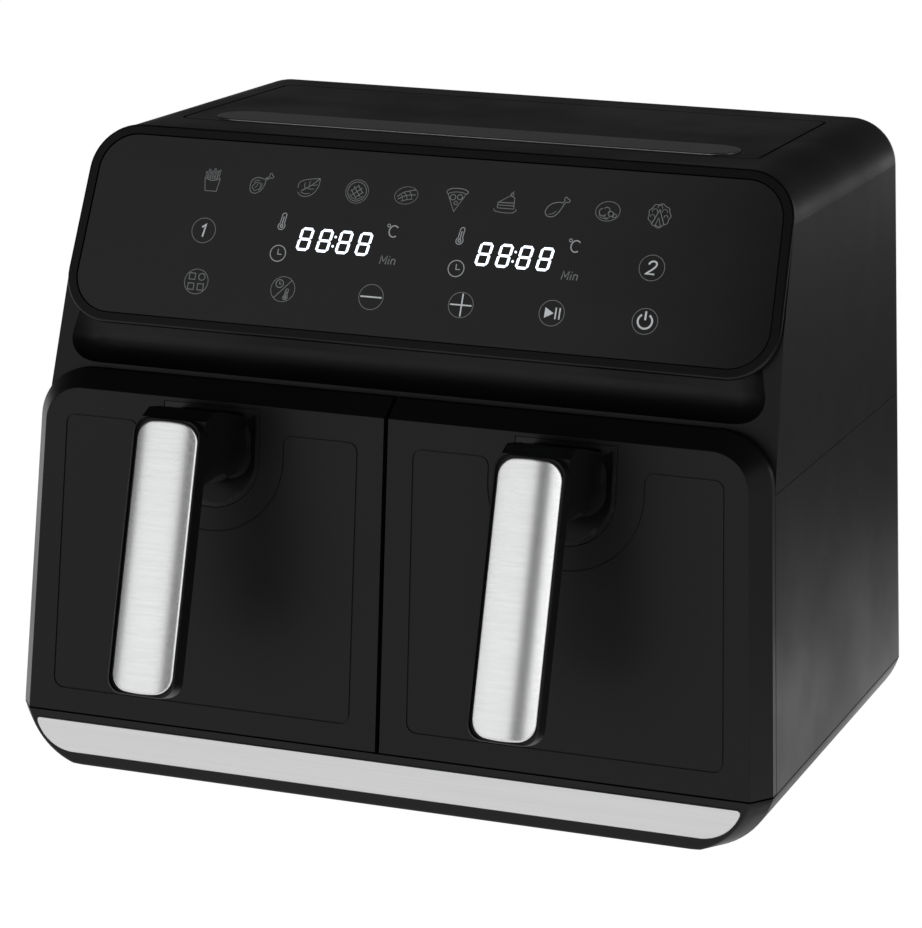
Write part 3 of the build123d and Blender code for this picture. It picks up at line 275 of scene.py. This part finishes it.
def panel_frame():
    """Front face of the control glass: lower edge, up direction and outward normal."""
    low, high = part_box("control_glass")
    height = (high[2] - low[2] - GLASS_T * math.sin(GLASS_RAKE)) / math.cos(GLASS_RAKE)
    edge = Vector((0.0, low[1], high[2] - height * math.cos(GLASS_RAKE)))
    up = Vector((0.0, math.sin(GLASS_RAKE), math.cos(GLASS_RAKE)))
    out = Vector((0.0, -math.cos(GLASS_RAKE), math.sin(GLASS_RAKE)))
    return edge, up, out


PANEL_EDGE, PANEL_UP, PANEL_OUT = panel_frame()


class Print:
    """Flat graphics on the glass, gathered into one mesh of thin closed prisms."""

    def __init__(self, name, material, lift=PRINT_LIFT):
        self.name = name
        self.material = material
        self.lift = lift
        self.grid = bmesh.new()

    def place(self, point, lift):
        u, v = point
        return PANEL_EDGE + Vector((u * MM, 0, 0)) + PANEL_UP * (v * MM) + PANEL_OUT * lift

    def prism(self, outline):
        """Closed prism on a convex outline given anticlockwise in millimetres."""
        front = [self.grid.verts.new(self.place(p, self.lift + PRINT_T)) for p in outline]
        back = [self.grid.verts.new(self.place(p, self.lift)) for p in outline]
        self.grid.faces.new(front)
        self.grid.faces.new(back[::-1])
        for i in range(len(outline)):
            j = (i + 1) % len(outline)
            self.grid.faces.new((front[i], back[i], back[j], front[j]))

    def ribbon(self, points, width, closed=False):
        """Stroke of one width with mitred joints along a polyline."""
        count = len(points)
        left, right = [], []
        for i in range(count):
            here = Vector(points[i])
            before = Vector(points[i - 1]) if closed or i > 0 else None
            after = Vector(points[(i + 1) % count]) if closed or i < count - 1 else None
            ahead = (after - here).normalized() if after else (here - before).normalized()
            behind = (here - before).normalized() if before else ahead
            along = (ahead + behind).normalized() if (ahead + behind).length > 1e-6 else ahead
            side = Vector((-along.y, along.x))
            reach = 0.5 * width / max(0.5, side.dot(Vector((-ahead.y, ahead.x))))
            left.append(here + side * reach)
            right.append(here - side * reach)
        steps = count if closed else count - 1
        rows = []
        for i in range(count):
            rows.append([self.grid.verts.new(self.place(p, lift)) for p, lift in (
                (left[i], self.lift + PRINT_T), (right[i], self.lift + PRINT_T),
                (right[i], self.lift), (left[i], self.lift))])
        for i in range(steps):
            one, two = rows[i], rows[(i + 1) % count]
            for a in range(4):
                b = (a + 1) % 4
                self.grid.faces.new((one[a], two[a], two[b], one[b]))
        if not closed:
            self.grid.faces.new(rows[0])
            self.grid.faces.new(rows[-1][::-1])

    def arc(self, centre, radius, start, end, width, steps=28):
        sweep = [math.radians(start + (end - start) * i / steps) for i in range(steps + 1)]
        ring = [(centre[0] + radius * math.cos(a), centre[1] + radius * math.sin(a)) for a in sweep]
        if abs(end - start) >= 360:
            self.ribbon(ring[:-1], width, closed=True)
        else:
            self.ribbon(ring, width)

    def ring(self, centre, radius, width, steps=48):
        self.arc(centre, radius, 0, 360, width, steps)

    def oval(self, centre, half_u, half_v, turn, width, wobble=0.0, lobes=6, steps=44):
        """Ellipse turned by an angle in degrees, with an optional scalloped edge."""
        c, s = math.cos(math.radians(turn)), math.sin(math.radians(turn))
        points = []
        for i in range(steps):
            a = math.tau * i / steps
            k = 1 + wobble * math.cos(lobes * a)
            x, y = half_u * k * math.cos(a), half_v * k * math.sin(a)
            points.append((centre[0] + c * x - s * y, centre[1] + s * x + c * y))
        self.ribbon(points, width, closed=True)

    def path(self, centre, scale, points, width, closed=False):
        """Ribbon through points given about a centre, in units of scale."""
        self.ribbon([(centre[0] + scale * x, centre[1] + scale * y) for x, y in points], width, closed)

    def finish(self):
        """Turns the gathered prisms into one object that rides on the housing."""
        bmesh.ops.recalc_face_normals(self.grid, faces=self.grid.faces)
        mesh = bpy.data.meshes.new(self.name)
        self.grid.to_mesh(mesh)
        self.grid.free()
        mesh.materials.append(MATERIALS[self.material])
        graphics = bpy.data.objects.new(self.name, mesh)
        bpy.context.scene.collection.objects.link(graphics)
        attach(graphics, "housing")
        return graphics


def smooth_path(points, steps=5, closed=False):
    """Catmull-Rom curve through the points."""
    count = len(points)
    out = []
    for i in range(count if closed else count - 1):
        p = []
        for k in (-1, 0, 1, 2):
            index = (i + k) % count if closed else min(max(i + k, 0), count - 1)
            p.append(Vector(points[index]))
        for s in range(steps):
            t = s / steps
            out.append(tuple(0.5 * (2 * p[1] + (p[2] - p[0]) * t
                + (2 * p[0] - 5 * p[1] + 4 * p[2] - p[3]) * t * t
                + (3 * p[1] - p[0] - 3 * p[2] + p[3]) * t ** 3)))
    if not closed:
        out.append(tuple(points[-1]))
    return out


LINE = 0.34


def fries(ink, c):
    """Cup of chips."""
    ink.path(c, 1, [(-4.2, 1.2), (-3.1, -5.6), (3.1, -5.6), (4.2, 1.2)], LINE)
    ink.path(c, 1, smooth_path([(-4.2, 1.2), (-2, 0.2), (0, -0.1), (2, 0.2), (4.2, 1.2)]), LINE)
    for k, (x, top, lean) in enumerate([(-3.5, 4.2, -0.5), (-2.3, 5.6, -0.3), (-1.0, 4.8, -0.1),
                                        (0.3, 6.1, 0.1), (1.5, 4.9, 0.3), (2.7, 5.5, 0.5)]):
        low = 0.9 if k in (0, 5) else 0.4
        ink.path(c, 1, [(x - 0.2, low), (x + lean, top), (x + lean + 0.75, top), (x + 0.6, low)], 0.26)


def roast(ink, c):
    """Roast joint with its bone."""
    body = [(-5.2, -1.6), (-4.6, 1.6), (-2.2, 3.2), (0.6, 3.0), (2.2, 2.6), (3.0, 3.4), (3.6, 2.8),
            (2.8, 1.8), (2.4, -0.6), (0.8, -3.4), (-2.0, -5.0), (-4.4, -4.2)]
    ink.path(c, 1, smooth_path(body, closed=True), LINE, closed=True)
    ink.path(c, 1, smooth_path([(3.0, 3.2), (4.4, 4.2), (4.6, 5.6), (5.6, 5.8), (5.9, 4.9), (6.8, 4.4),
                                (6.2, 3.4), (5.0, 3.5), (3.6, 2.6)]), LINE)
    ink.oval((c[0] - 1.7, c[1] - 1.4), 2.4, 1.9, 40, 0.28, 0.08, 5)
    ink.path(c, 1, smooth_path([(-3.6, 0.6), (-2.2, 1.8), (-0.2, 1.7)]), 0.28)
    ink.path(c, 1, smooth_path([(-0.4, -3.2), (0.9, -1.6), (1.2, 0.4)]), 0.28)
    ink.path(c, 1, smooth_path([(-2.6, -2.2), (-1.6, -1.2), (-1.2, 0)]), 0.28)


def leaf_plate(ink, c):
    """Leaf with branching veins."""
    ink.path(c, 1, smooth_path([(-5.6, -0.4), (-5.2, 2.2), (-2.6, 3.8), (1.2, 4.6), (5.6, 5.2)]), LINE)
    belly = [(5.6, 5.2), (5.4, 1.4), (3.2, -2.6), (0, -4.4), (-3.2, -4.4), (-5.4, -2.6)]
    ink.path(c, 1, smooth_path(belly), LINE)
    ink.path(c, 1, smooth_path([(-3.6, -1.8), (-1.2, -0.4), (2.0, 1.8), (5.4, 5.0)]), 0.42)
    ink.path(c, 1, smooth_path([(-1.6, -0.6), (-2.2, 1.0), (-2.0, 2.6)]), 0.3)
    ink.path(c, 1, smooth_path([(0.4, 0.8), (0.2, 2.2), (0.8, 3.6)]), 0.3)
    ink.path(c, 1, smooth_path([(-0.6, 0.0), (1.0, -0.6), (3.0, -0.4)]), 0.3)
    ink.path(c, 1, smooth_path([(-3.8, -2.4), (-1.6, -3.2), (1.2, -2.8)]), 0.3)
    ink.path(c, 1, smooth_path([(1.6, 1.6), (3.0, 1.4), (4.6, 2.0)]), 0.3)


def bun(ink, c):
    """Round loaf with a scored grid."""
    ink.ring(c, 6.0, 0.26)
    ink.ring(c, 4.9, LINE)
    for k in (-2.1, 0.0, 2.1):
        half = math.sqrt(max(0.5, 3.3 ** 2 - k * k))
        for turn in (38, 128):
            a = math.radians(turn)
            d, n = Vector((math.cos(a), math.sin(a))), Vector((-math.sin(a), math.cos(a)))
            ends = [tuple(n * k - d * half), tuple(n * k + d * half)]
            ink.path(c, 1, ends, 0.36)
    ink.arc(c, 3.9, 200, 330, 0.28)


def prawns(ink, c):
    """Oval dish of prawns."""
    ink.oval(c, 6.1, 4.4, 12, 0.24)
    ink.path(c, 1, smooth_path([(-4.6, -1.0), (-2.0, 1.2), (1.4, 2.4), (4.8, 3.2)]), 0.36)
    ink.path(c, 1, smooth_path([(-4.2, -2.2), (-1.0, -0.4), (2.2, 0.4), (5.0, 0.6)]), 0.36)
    ink.path(c, 1, smooth_path([(-2.4, -3.2), (0.4, -2.2), (3.6, -1.6)]), 0.32)
    ink.path(c, 1, smooth_path([(-1.4, 1.4), (0.2, -0.2), (0.6, -2.0)]), 0.28)
    ink.path(c, 1, smooth_path([(1.4, 2.2), (2.6, 0.6), (2.8, -1.4)]), 0.28)
    ink.path(c, 1, smooth_path([(-3.0, 0.4), (-1.8, -1.0), (-1.6, -2.4)]), 0.28)


def pizza(ink, c):
    """Slice with a thick crust."""
    crust = [(-5.4, 3.8), (-3.4, 5.2), (0.0, 5.6), (3.4, 5.4), (5.8, 4.2), (5.0, 2.8)]
    ink.path(c, 1, smooth_path(crust), 0.44)
    inner = [(-5.4, 3.8), (-4.8, 2.6), (-2.6, 3.4), (0.4, 3.8), (3.4, 3.5), (5.0, 2.8)]
    ink.path(c, 1, smooth_path(inner), LINE)
    ink.path(c, 1, [(-4.6, 2.6), (-0.2, -6.2), (4.8, 2.8)], LINE)
    ink.ring((c[0] - 1.7, c[1] + 1.0), 1.4, 0.4, 24)
    ink.ring((c[0] + 1.9, c[1] + 1.3), 1.3, 0.4, 24)
    ink.ring((c[0] + 0.2, c[1] - 1.8), 0.9, 0.34, 18)


def cake(ink, c):
    """Slice of cake on a plate."""
    plate = [(-5.8, -3.0), (-5.2, -4.2), (-1.0, -4.8), (3.6, -4.6), (5.4, -3.6), (5.6, -2.6)]
    ink.path(c, 1, smooth_path(plate), LINE)
    ink.path(c, 1, [(-4.2, -2.6), (-4.2, 0.2), (1.8, 4.0), (4.0, 3.0), (4.4, -2.6), (-4.2, -2.6)], LINE)
    ink.path(c, 1, [(-4.2, 0.2), (4.2, 0.4)], 0.44)
    ink.path(c, 1, [(-4.2, -1.1), (4.3, -1.0)], 0.36)
    ink.path(c, 1, smooth_path([(2.2, 3.8), (2.4, 5.2), (3.4, 6.2)]), 0.36)
    ink.ring((c[0] + 2.6, c[1] + 4.6), 0.8, 0.3, 18)


def drumstick(ink, c):
    """Drumstick with its bone."""
    meat = [(2.6, 2.4), (0.8, 2.6), (-2.6, 1.6), (-5.0, -0.8), (-5.4, -3.2), (-4.0, -4.8), (-1.4, -4.8),
            (0.8, -3.2), (2.6, -0.2), (3.4, 1.6)]
    ink.path(c, 1, smooth_path(meat), 0.42)
    ink.path(c, 1, smooth_path([(2.6, 2.4), (3.6, 3.4), (3.4, 4.8), (4.4, 5.4), (5.2, 4.6), (6.3, 4.0),
                                (5.8, 2.9), (4.6, 2.9), (3.4, 1.6)]), 0.42)
    ink.path(c, 1, smooth_path([(-3.8, -3.8), (-1.8, -3.4), (0.0, -2.0)]), 0.3)


def nuggets(ink, c):
    """Oval dish of nuggets."""
    ink.oval(c, 6.2, 4.9, 8, 0.3)
    ink.arc((c[0] - 2.4, c[1] - 0.6), 1.9, 100, 330, 0.42, 16)
    ink.arc((c[0] - 0.6, c[1] + 0.4), 1.6, -60, 150, 0.36, 16)
    ink.oval((c[0] + 1.8, c[1] - 1.2), 1.6, 1.2, -30, 0.36)
    ink.oval((c[0] + 3.6, c[1] - 2.0), 1.1, 0.9, 20, 0.3)
    ink.arc((c[0] - 0.2, c[1] - 2.0), 1.5, 180, 350, 0.34, 12)
    ink.path(c, 1, smooth_path([(-4.4, -2.4), (-2.4, -3.6), (0.6, -3.9)]), 0.26)


def greens(ink, c):
    """Scalloped head of greens with stems."""
    ink.oval(c, 5.5, 5.6, 0, 0.34, 0.055, 9, 72)
    ink.path(c, 1, [(-3.4, -4.6), (-0.2, 2.8), (3.0, -4.8)], 0.46)
    ink.path(c, 1, [(-1.6, -5.4), (-0.2, -1.2), (1.2, -5.4)], 0.4)
    heads = ((-2.6, 1.8, 1.3), (2.4, 1.9, 1.3), (-0.2, 3.9, 1.2), (-3.4, -0.8, 1.0), (3.4, -0.8, 1.0))
    for x, y, r in heads:
        ink.arc((c[0] + x, c[1] + y), r, -20, 200, 0.28, 14)
    ink.arc((c[0], c[1] - 4.6), 1.7, 190, 350, 0.3, 10)


def clock(ink, c, radius):
    """Ring with two hands."""
    ink.ring(c, radius, 0.46, 36)
    ink.path(c, radius, [(-0.02, 0.55), (-0.02, -0.1), (0.5, -0.1)], 0.46)


def thermometer(ink, c, scale=1.0):
    """Leaning thermometer: a rounded tube over a bulb, with its column inside."""
    lean, tube_r, bulb_r = 0.14, 1.15, 1.9
    tube_top, bulb_middle = 3.4, -2.6
    points = []
    for i in range(13):
        a = math.radians(i * 15)
        points.append((tube_r * math.cos(a), tube_top + tube_r * math.sin(a)))
    for i in range(25):
        a = math.radians(128 + i * (284 / 24))
        points.append((bulb_r * math.cos(a), bulb_middle + bulb_r * math.sin(a)))
    points = [(x + lean * y, y) for x, y in points]
    ink.path(c, scale, points, 0.42, closed=True)
    ink.path(c, scale, [(lean * 2.6, 2.6), (lean * -1.6, -1.6)], 0.5)
    bulb = (c[0] + scale * lean * bulb_middle, c[1] + bulb_middle * scale)
    ink.ring(bulb, 0.75 * scale, 0.5, 18)


def play_pause(ink, c):
    """Triangle beside two bars."""
    ink.prism([(c[0] - 3.6, c[1] - 2.7), (c[0] + 1.0, c[1]), (c[0] - 3.6, c[1] + 2.7)])
    for x in (2.0, 4.0):
        ink.path(c, 1, [(x, -2.9), (x, 2.9)], 0.7)


SLANT = 0.17


def slanted(points):
    """The points sheared to the right with height, as the figures lean."""
    return [(x + SLANT * y, y) for x, y in points]


SEGMENTS = {
    "a": ((0, 2), (1, 2)), "b": ((1, 2), (1, 1)), "c": ((1, 1), (1, 0)), "d": ((0, 0), (1, 0)),
    "e": ((0, 0), (0, 1)), "f": ((0, 1), (0, 2)), "g": ((0, 1), (1, 1)),
}


def seven_segments(ink, left, low, wide, tall, width, gap):
    """One lit figure eight: seven hexagonal bars leaning to the right."""
    step_u, step_v = wide, tall / 2
    for start, end in SEGMENTS.values():
        a = Vector((start[0] * step_u, start[1] * step_v))
        b = Vector((end[0] * step_u, end[1] * step_v))
        along = (b - a).normalized()
        side = Vector((-along.y, along.x)) * (width / 2)
        a2, b2 = a + along * gap, b - along * gap
        corners = [a2, a2 + along * width / 2 - side, b2 - along * width / 2 - side, b2,
                   b2 - along * width / 2 + side, a2 + along * width / 2 + side]
        ink.prism([(left + p[0], low + p[1]) for p in slanted([tuple(q) for q in corners])])


ICONS = (fries, roast, leaf_plate, bun, prawns, pizza, cake, drumstick, nuggets, greens)


DISPLAY_MIDDLES = (-45.85, 48.95)
DIGIT_PITCH = 10.5
DIGIT_LOW = 40.5
DIGIT_WIDE = 5.6
DIGIT_TALL = 10.7
COLON_OFFSET = 18.4


def minutes(ink, origin):
    """The abbreviation for minutes in leaning strokes."""
    letters = (
        (0.0, [(0, 0), (0, 4.2), (1.5, 1.4), (3.0, 4.2), (3.0, 0)]),
        (4.4, [(0, 0), (0, 2.8)]),
        (4.4, [(0, 3.6), (0, 4.2)]),
        (5.8, [(0, 0), (0, 2.7), (1.2, 2.8), (1.9, 2.3), (1.9, 0)]),
    )
    for shift, points in letters:
        ink.ribbon(slanted_at((origin[0] + shift, origin[1]), points), 0.5)


def display(side, left):
    """Four lit figures with a colon, over a faint glow of the same shape."""
    lit = Print("display_digits_" + side, "lit_segment", 2 * PRINT_LIFT)
    glow = Print("display_glow_" + side, "segment_glow", 0.5 * PRINT_LIFT)
    for index in range(4):
        u = left + index * DIGIT_PITCH
        seven_segments(lit, u, DIGIT_LOW, DIGIT_WIDE, DIGIT_TALL, 1.3, 0.12)
        seven_segments(glow, u, DIGIT_LOW, DIGIT_WIDE, DIGIT_TALL, 2.8, -0.5)
    for v in (43.4, 48.2):
        middle = left + COLON_OFFSET + SLANT * (v - 40.4)
        dot = [(middle + 0.62 * math.cos(a), v + 0.62 * math.sin(a))
               for a in (math.tau * i / 16 for i in range(16))]
        lit.prism(dot)
    lit.finish()
    glow.finish()


def panel_graphics():
    faint = Print("panel_food_icons", "faint_print")
    for index, draw in enumerate(ICONS):
        draw(faint, (-117.0 + 26.2 * index, 72.2))
    for centre in ((-117, 46), (119, 46), (-21.9, 19.5), (25.3, 19.5), (72.3, 19.5), (119.6, 19.5),
                   (-69.1, 19.5), (-116.2, 19.5)):
        faint.ring(centre, 6.4, 0.3)
    faint.path((-69.1, 19.5), 1, [(-4.2, -4.8), (4.2, 4.8)], 0.4)
    for du, dv in ((-1, 1), (1, -1), (-1, -1)):
        corner = [(-116.2 + du * 2.6 + x, 19.5 + dv * 2.6 + y) for x, y in
                  ((-1.6, -1.6), (1.6, -1.6), (1.6, 1.6), (-1.6, 1.6))]
        faint.ribbon(corner, 0.4, closed=True)
    faint.ring((-116.2 + 2.6, 19.5 + 2.6), 1.75, 0.4, 24)
    clock(faint, (-71.2, 22.2), 2.0)
    thermometer(faint, (-67.0, 17.0), 0.62)
    for middle in DISPLAY_MIDDLES:
        minutes(faint, (middle + 25.4, 36.6))
    faint.finish()

    middling = Print("panel_scale_marks", "mid_print")
    for middle in DISPLAY_MIDDLES:
        clock(middling, (middle - 29.1, 37.5), 4.1)
        thermometer(middling, (middle - 29.3, 54.0), 0.95)
        u = middle + 29.9
        middling.ring((u - 2.6, 56.3), 0.75, 0.34, 16)
        middling.ribbon([(u + 0.4 + 2.5 * math.cos(math.radians(a)) + 0.12 * math.sin(math.radians(a)),
            53.5 + 2.9 * math.sin(math.radians(a))) for a in range(42, 322, 14)], 0.62)
    middling.finish()

    bright = Print("panel_key_symbols", "bright_print")
    bright.prism([(-27.5, 19.15), (-16.3, 19.15), (-16.3, 19.9), (-27.5, 19.9)])
    bright.path((25.3, 19.5), 1, [(-5.6, 0), (5.6, 0)], 0.7)
    bright.path((25.3, 19.5), 1, [(0.4, -5.8), (0.4, -0.4)], 0.7)
    bright.path((25.3, 19.5), 1, [(0.4, 0.4), (0.4, 5.8)], 0.7)
    play_pause(bright, (72.3, 19.5))
    bright.arc((119.6, 19.5), 3.6, 122, 418, 0.95, 40)
    bright.path((119.6, 19.5), 1, [(0, 0.6), (0, 5.0)], 1.0)
    bright.ribbon(slanted_at((-117.4, 42.7), [(-1.5, 4.9), (0.2, 6.4), (0.2, 0)]), 0.9)
    curve = [(-2.0, 4.9), (-1.2, 6.2), (0.3, 6.6), (1.7, 5.9), (1.9, 4.4), (0.6, 2.6), (-2.1, 0.2)]
    two = smooth_path(curve)
    bright.ribbon(slanted_at((118.4, 42.7), two + [(2.2, 0.2)]), 0.85)
    bright.finish()

    display("left", -65.4)
    display("right", 29.4)


def slanted_at(origin, points):
    """A leaning stroke that starts from a place on the panel."""
    return [(origin[0] + x, origin[1] + y) for x, y in slanted(points)]


# ---- steel plates on the handles ------------------------------------------------------------
HANDLE_X = 92.5 * MM
HANDLE_LEAN = math.radians(14.7)
HANDLE_HEAD = Vector((0.0, -149.0 * MM, 202.5 * MM))
HANDLE_UP = Vector((0.0, math.sin(HANDLE_LEAN), math.cos(HANDLE_LEAN)))
HANDLE_OUT = Vector((0.0, -math.cos(HANDLE_LEAN), math.sin(HANDLE_LEAN)))
HANDLE_LENGTH = 134.6
PLATE_HALF_W = 16.6
PLATE_HALF_L = 66.2
PLATE_CORNER = 8.5
PLATE_BACK = -2.3
PLATE_TOP = 0.62
PLATE_SAG = 2.1
PLATE_END_ARC = 1.5
PLATE_ROLL_W = 1.3
PLATE_ROLL_D = 0.7


def eased(count, half, dense):
    """Positions from -half to half, closer together within dense of each end."""
    ends = [half - dense * (1 - math.cos(math.pi / 2 * i / count)) for i in range(count + 1)]
    inner = half - dense
    middle = [-inner + 2 * inner * i / (2 * count) for i in range(1, 2 * count)]
    return sorted({round(v, 6) for v in [-e for e in ends] + middle + ends})


def end_arc(x):
    """How far the plate's ends draw back beside the middle."""
    return PLATE_END_ARC * (x / PLATE_HALF_W) ** 2


def corner_distance(x, y):
    """Depth of a point inside the plate's rounded outline."""
    dx = abs(x) - (PLATE_HALF_W - PLATE_CORNER)
    dy = abs(y) - (PLATE_HALF_L - PLATE_CORNER) + end_arc(x)
    if dx > 0 and dy > 0:
        return PLATE_CORNER - math.hypot(dx, dy)
    return min(PLATE_CORNER - dx, PLATE_CORNER - dy)


def plate_height(x, y):
    """Crowned face whose border rolls down towards the rim."""
    crown = PLATE_TOP - PLATE_SAG * (x / PLATE_HALF_W) ** 2
    inside = max(0.0, corner_distance(x, y))
    if inside >= PLATE_ROLL_W:
        return crown
    k = (PLATE_ROLL_W - inside) / PLATE_ROLL_W
    return crown - PLATE_ROLL_D * (1 - math.sqrt(max(0.0, 1 - k ** 2.6)))


def steel_plate(side, sign):
    """Steel plate of one handle, a closed shell with finely rolled edges."""
    grid = bmesh.new()
    uv = grid.loops.layers.uv.new("brushing")
    centre = HANDLE_HEAD + HANDLE_UP * (-HANDLE_LENGTH / 2 * MM)
    flat = {}

    def corner(x, y, h):
        point = centre + HANDLE_UP * (y * MM) + HANDLE_OUT * (h * MM)
        point.x = sign * HANDLE_X + x * MM
        vertex = grid.verts.new(point)
        flat[vertex] = (x, y)
        return vertex

    columns = eased(14, PLATE_HALF_W, PLATE_CORNER)
    shares = eased(14, 1.0, 0.12)
    front = []
    for x in columns:
        over = max(0.0, abs(x) - (PLATE_HALF_W - PLATE_CORNER))
        reach = PLATE_HALF_L - PLATE_CORNER + math.sqrt(max(0.0, PLATE_CORNER ** 2 - over ** 2)) - end_arc(x)
        front.append([corner(x, t * reach, plate_height(x, t * reach)) for t in shares])
    across, along = len(columns), len(shares)
    rim = [front[0][j] for j in range(along)]
    rim += [front[i][-1] for i in range(1, across)]
    rim += [front[-1][j] for j in range(along - 2, -1, -1)]
    rim += [front[i][0] for i in range(across - 2, 0, -1)]
    for i in range(across - 1):
        for j in range(along - 1):
            grid.faces.new((front[i][j], front[i + 1][j], front[i + 1][j + 1], front[i][j + 1]))
    back = [corner(*flat[v], PLATE_BACK) for v in rim]
    for i in range(len(rim)):
        j = (i + 1) % len(rim)
        grid.faces.new((rim[i], back[i], back[j], rim[j]))
    grid.faces.new(back)
    bmesh.ops.recalc_face_normals(grid, faces=grid.faces)
    for face in grid.faces:
        face.smooth = True
        for loop in face.loops:
            x, y = flat[loop.vert]
            loop[uv].uv = (y / 200.0, -x / 200.0)
    for edge in grid.edges:
        if len(edge.link_faces) == 2 and edge.calc_face_angle(0.0) > math.radians(50):
            edge.smooth = False
    mesh = bpy.data.meshes.new("handle_plate_" + side)
    grid.to_mesh(mesh)
    grid.free()
    mesh.materials.append(MATERIALS["handle_steel"])
    plate = bpy.data.objects.new("handle_plate_" + side, mesh)
    bpy.context.scene.collection.objects.link(plate)
    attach(plate, "drawer_" + side)
    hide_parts("handle_cover_" + side)


# ---- floor, light and camera ----------------------------------------------------------------
def studio_floor():
    """White sweep that glows and so lights the object from below; its glow falls off in a painted shade
    patch behind and to the right of the object.
    """
    size = 30.0
    mesh = bpy.data.meshes.new("studio_floor")
    corners = [(-size, -size, 0), (size, -size, 0), (size, size, 0), (-size, size, 0)]
    mesh.from_pydata(corners, [], [(0, 1, 2, 3)])
    floor = bpy.data.objects.new("studio_floor", mesh)
    bpy.context.scene.collection.objects.link(floor)
    shader = Shader("studio_floor", (0.45, 0.45, 0.45), 0.8)
    place = shader.add("ShaderNodeSeparateXYZ", Vector=shader.coordinates)
    across = shader.add("ShaderNodeMath")
    across.operation = "MULTIPLY_ADD"
    shader.link(place.outputs["Y"], across.inputs[0])
    across.inputs[1].default_value = 0.2253
    shader.link(place.outputs["X"], across.inputs[2])
    # Painted shade: the floor's emission drops from 0.98 to about 0.14 in a soft patch to the right of and
    # behind the object, fading back in 2 to 4.6 m from its centre.
    aside = shader.spread(across.outputs[0], 0.0, 0.86, 0.25, 0.50)
    behind = shader.spread(place.outputs["Y"], 0.0, 1.0, -0.15, 0.10)
    painted_shade_aside = shader.add("ShaderNodeMath")
    painted_shade_aside.operation = "MULTIPLY"
    shader.link(aside, painted_shade_aside.inputs[0])
    shader.link(behind, painted_shade_aside.inputs[1])
    reach = shader.add("ShaderNodeVectorMath")
    reach.operation = "LENGTH"
    shader.link(shader.coordinates, reach.inputs[0])
    near = shader.spread(reach.outputs["Value"], 1.0, 0.0, 2.0, 4.6)
    painted_shade_patch = shader.add("ShaderNodeMath")
    painted_shade_patch.operation = "MULTIPLY"
    shader.link(painted_shade_aside.outputs[0], painted_shade_patch.inputs[0])
    shader.link(near, painted_shade_patch.inputs[1])
    glow = shader.spread(painted_shade_patch.outputs[0], 0.98, 0.0, 0.0, 1.0)
    shader.principled.inputs["Emission Color"].default_value = (1, 1, 1, 1)
    shader.link(glow, shader.principled.inputs["Emission Strength"])
    mesh.materials.append(shader.material)


def softbox(name, place, target, width, height, power):
    """Rectangular area light that faces a target point."""
    light = bpy.data.lights.new(name, "AREA")
    light.shape = "RECTANGLE"
    light.size = width
    light.size_y = height
    light.energy = power
    lamp = bpy.data.objects.new(name, light)
    lamp.location = place
    lamp.rotation_euler = (Vector(target) - Vector(place)).to_track_quat("-Z", "Y").to_euler()
    bpy.context.scene.collection.objects.link(lamp)


def studio_light():
    """A graded bank at the front left, a small box at the front right and a dim dark room."""
    softbox("front_left_low", (-1.23, -2.2, 0.60), (-1.23, 0.0, 0.60), 1.9, 0.9, 7.0)
    softbox("front_left_high", (-1.40, -2.2, 1.80), (-1.40, 0.0, 1.80), 1.7, 1.35, 3.2)
    softbox("front_right_edge", (0.58, -2.1, 0.70), (0.58, 0.0, 0.40), 0.9, 0.8, 4.2)
    softbox("right_side", (2.2, 0.4, 0.7), (0.0, 0.0, 0.16), 0.8, 0.8, 2.4)
    world = bpy.data.worlds.new("studio")
    world.use_nodes = True
    tree = world.node_tree
    background = tree.nodes["Background"]
    place = tree.nodes.new("ShaderNodeTexCoord")
    split = tree.nodes.new("ShaderNodeSeparateXYZ")
    ramp = tree.nodes.new("ShaderNodeValToRGB")
    tree.links.new(place.outputs["Generated"], split.inputs[0])
    tree.links.new(split.outputs["Z"], ramp.inputs["Fac"])
    tree.links.new(ramp.outputs["Color"], background.inputs["Color"])
    ramp.color_ramp.elements[0].color = (0.16, 0.16, 0.16, 1)
    ramp.color_ramp.elements[1].position = 0.5
    ramp.color_ramp.elements[1].color = (0.025, 0.025, 0.025, 1)
    background.inputs["Strength"].default_value = 1.0
    bpy.context.scene.world = world
    bpy.context.scene.view_settings.view_transform = "Standard"


CAMERA_PLACE = (0.6205, -1.6952, 0.5977)
CAMERA_YAW, CAMERA_PITCH, CAMERA_ROLL = 19.99, 13.75, 1.03
CAMERA_LENS = 140.35


def photo_camera():
    """Long lens from the right, a little above, as a product photographer stands."""
    yaw, pitch, roll = (math.radians(a) for a in (CAMERA_YAW, CAMERA_PITCH, CAMERA_ROLL))
    forward = Vector((-math.sin(yaw) * math.cos(pitch), math.cos(yaw) * math.cos(pitch), -math.sin(pitch)))
    level_right = Vector((math.cos(yaw), math.sin(yaw), 0.0))
    level_up = level_right.cross(forward)
    right = math.cos(roll) * level_right + math.sin(roll) * level_up
    up = -math.sin(roll) * level_right + math.cos(roll) * level_up
    data = bpy.data.cameras.new("camera")
    data.sensor_fit = "AUTO"
    data.sensor_width = 36.0
    data.lens = CAMERA_LENS
    data.clip_end = 100.0
    camera = bpy.data.objects.new("camera", data)
    rotation = Matrix((right, up, -forward)).transposed().to_4x4()
    camera.matrix_world = Matrix.Translation(CAMERA_PLACE) @ rotation
    bpy.context.scene.collection.objects.link(camera)
    bpy.context.scene.camera = camera


photo_camera()
dress_nodes()
panel_graphics()
steel_plate("left", -1)
steel_plate("right", 1)
studio_floor()
studio_light()
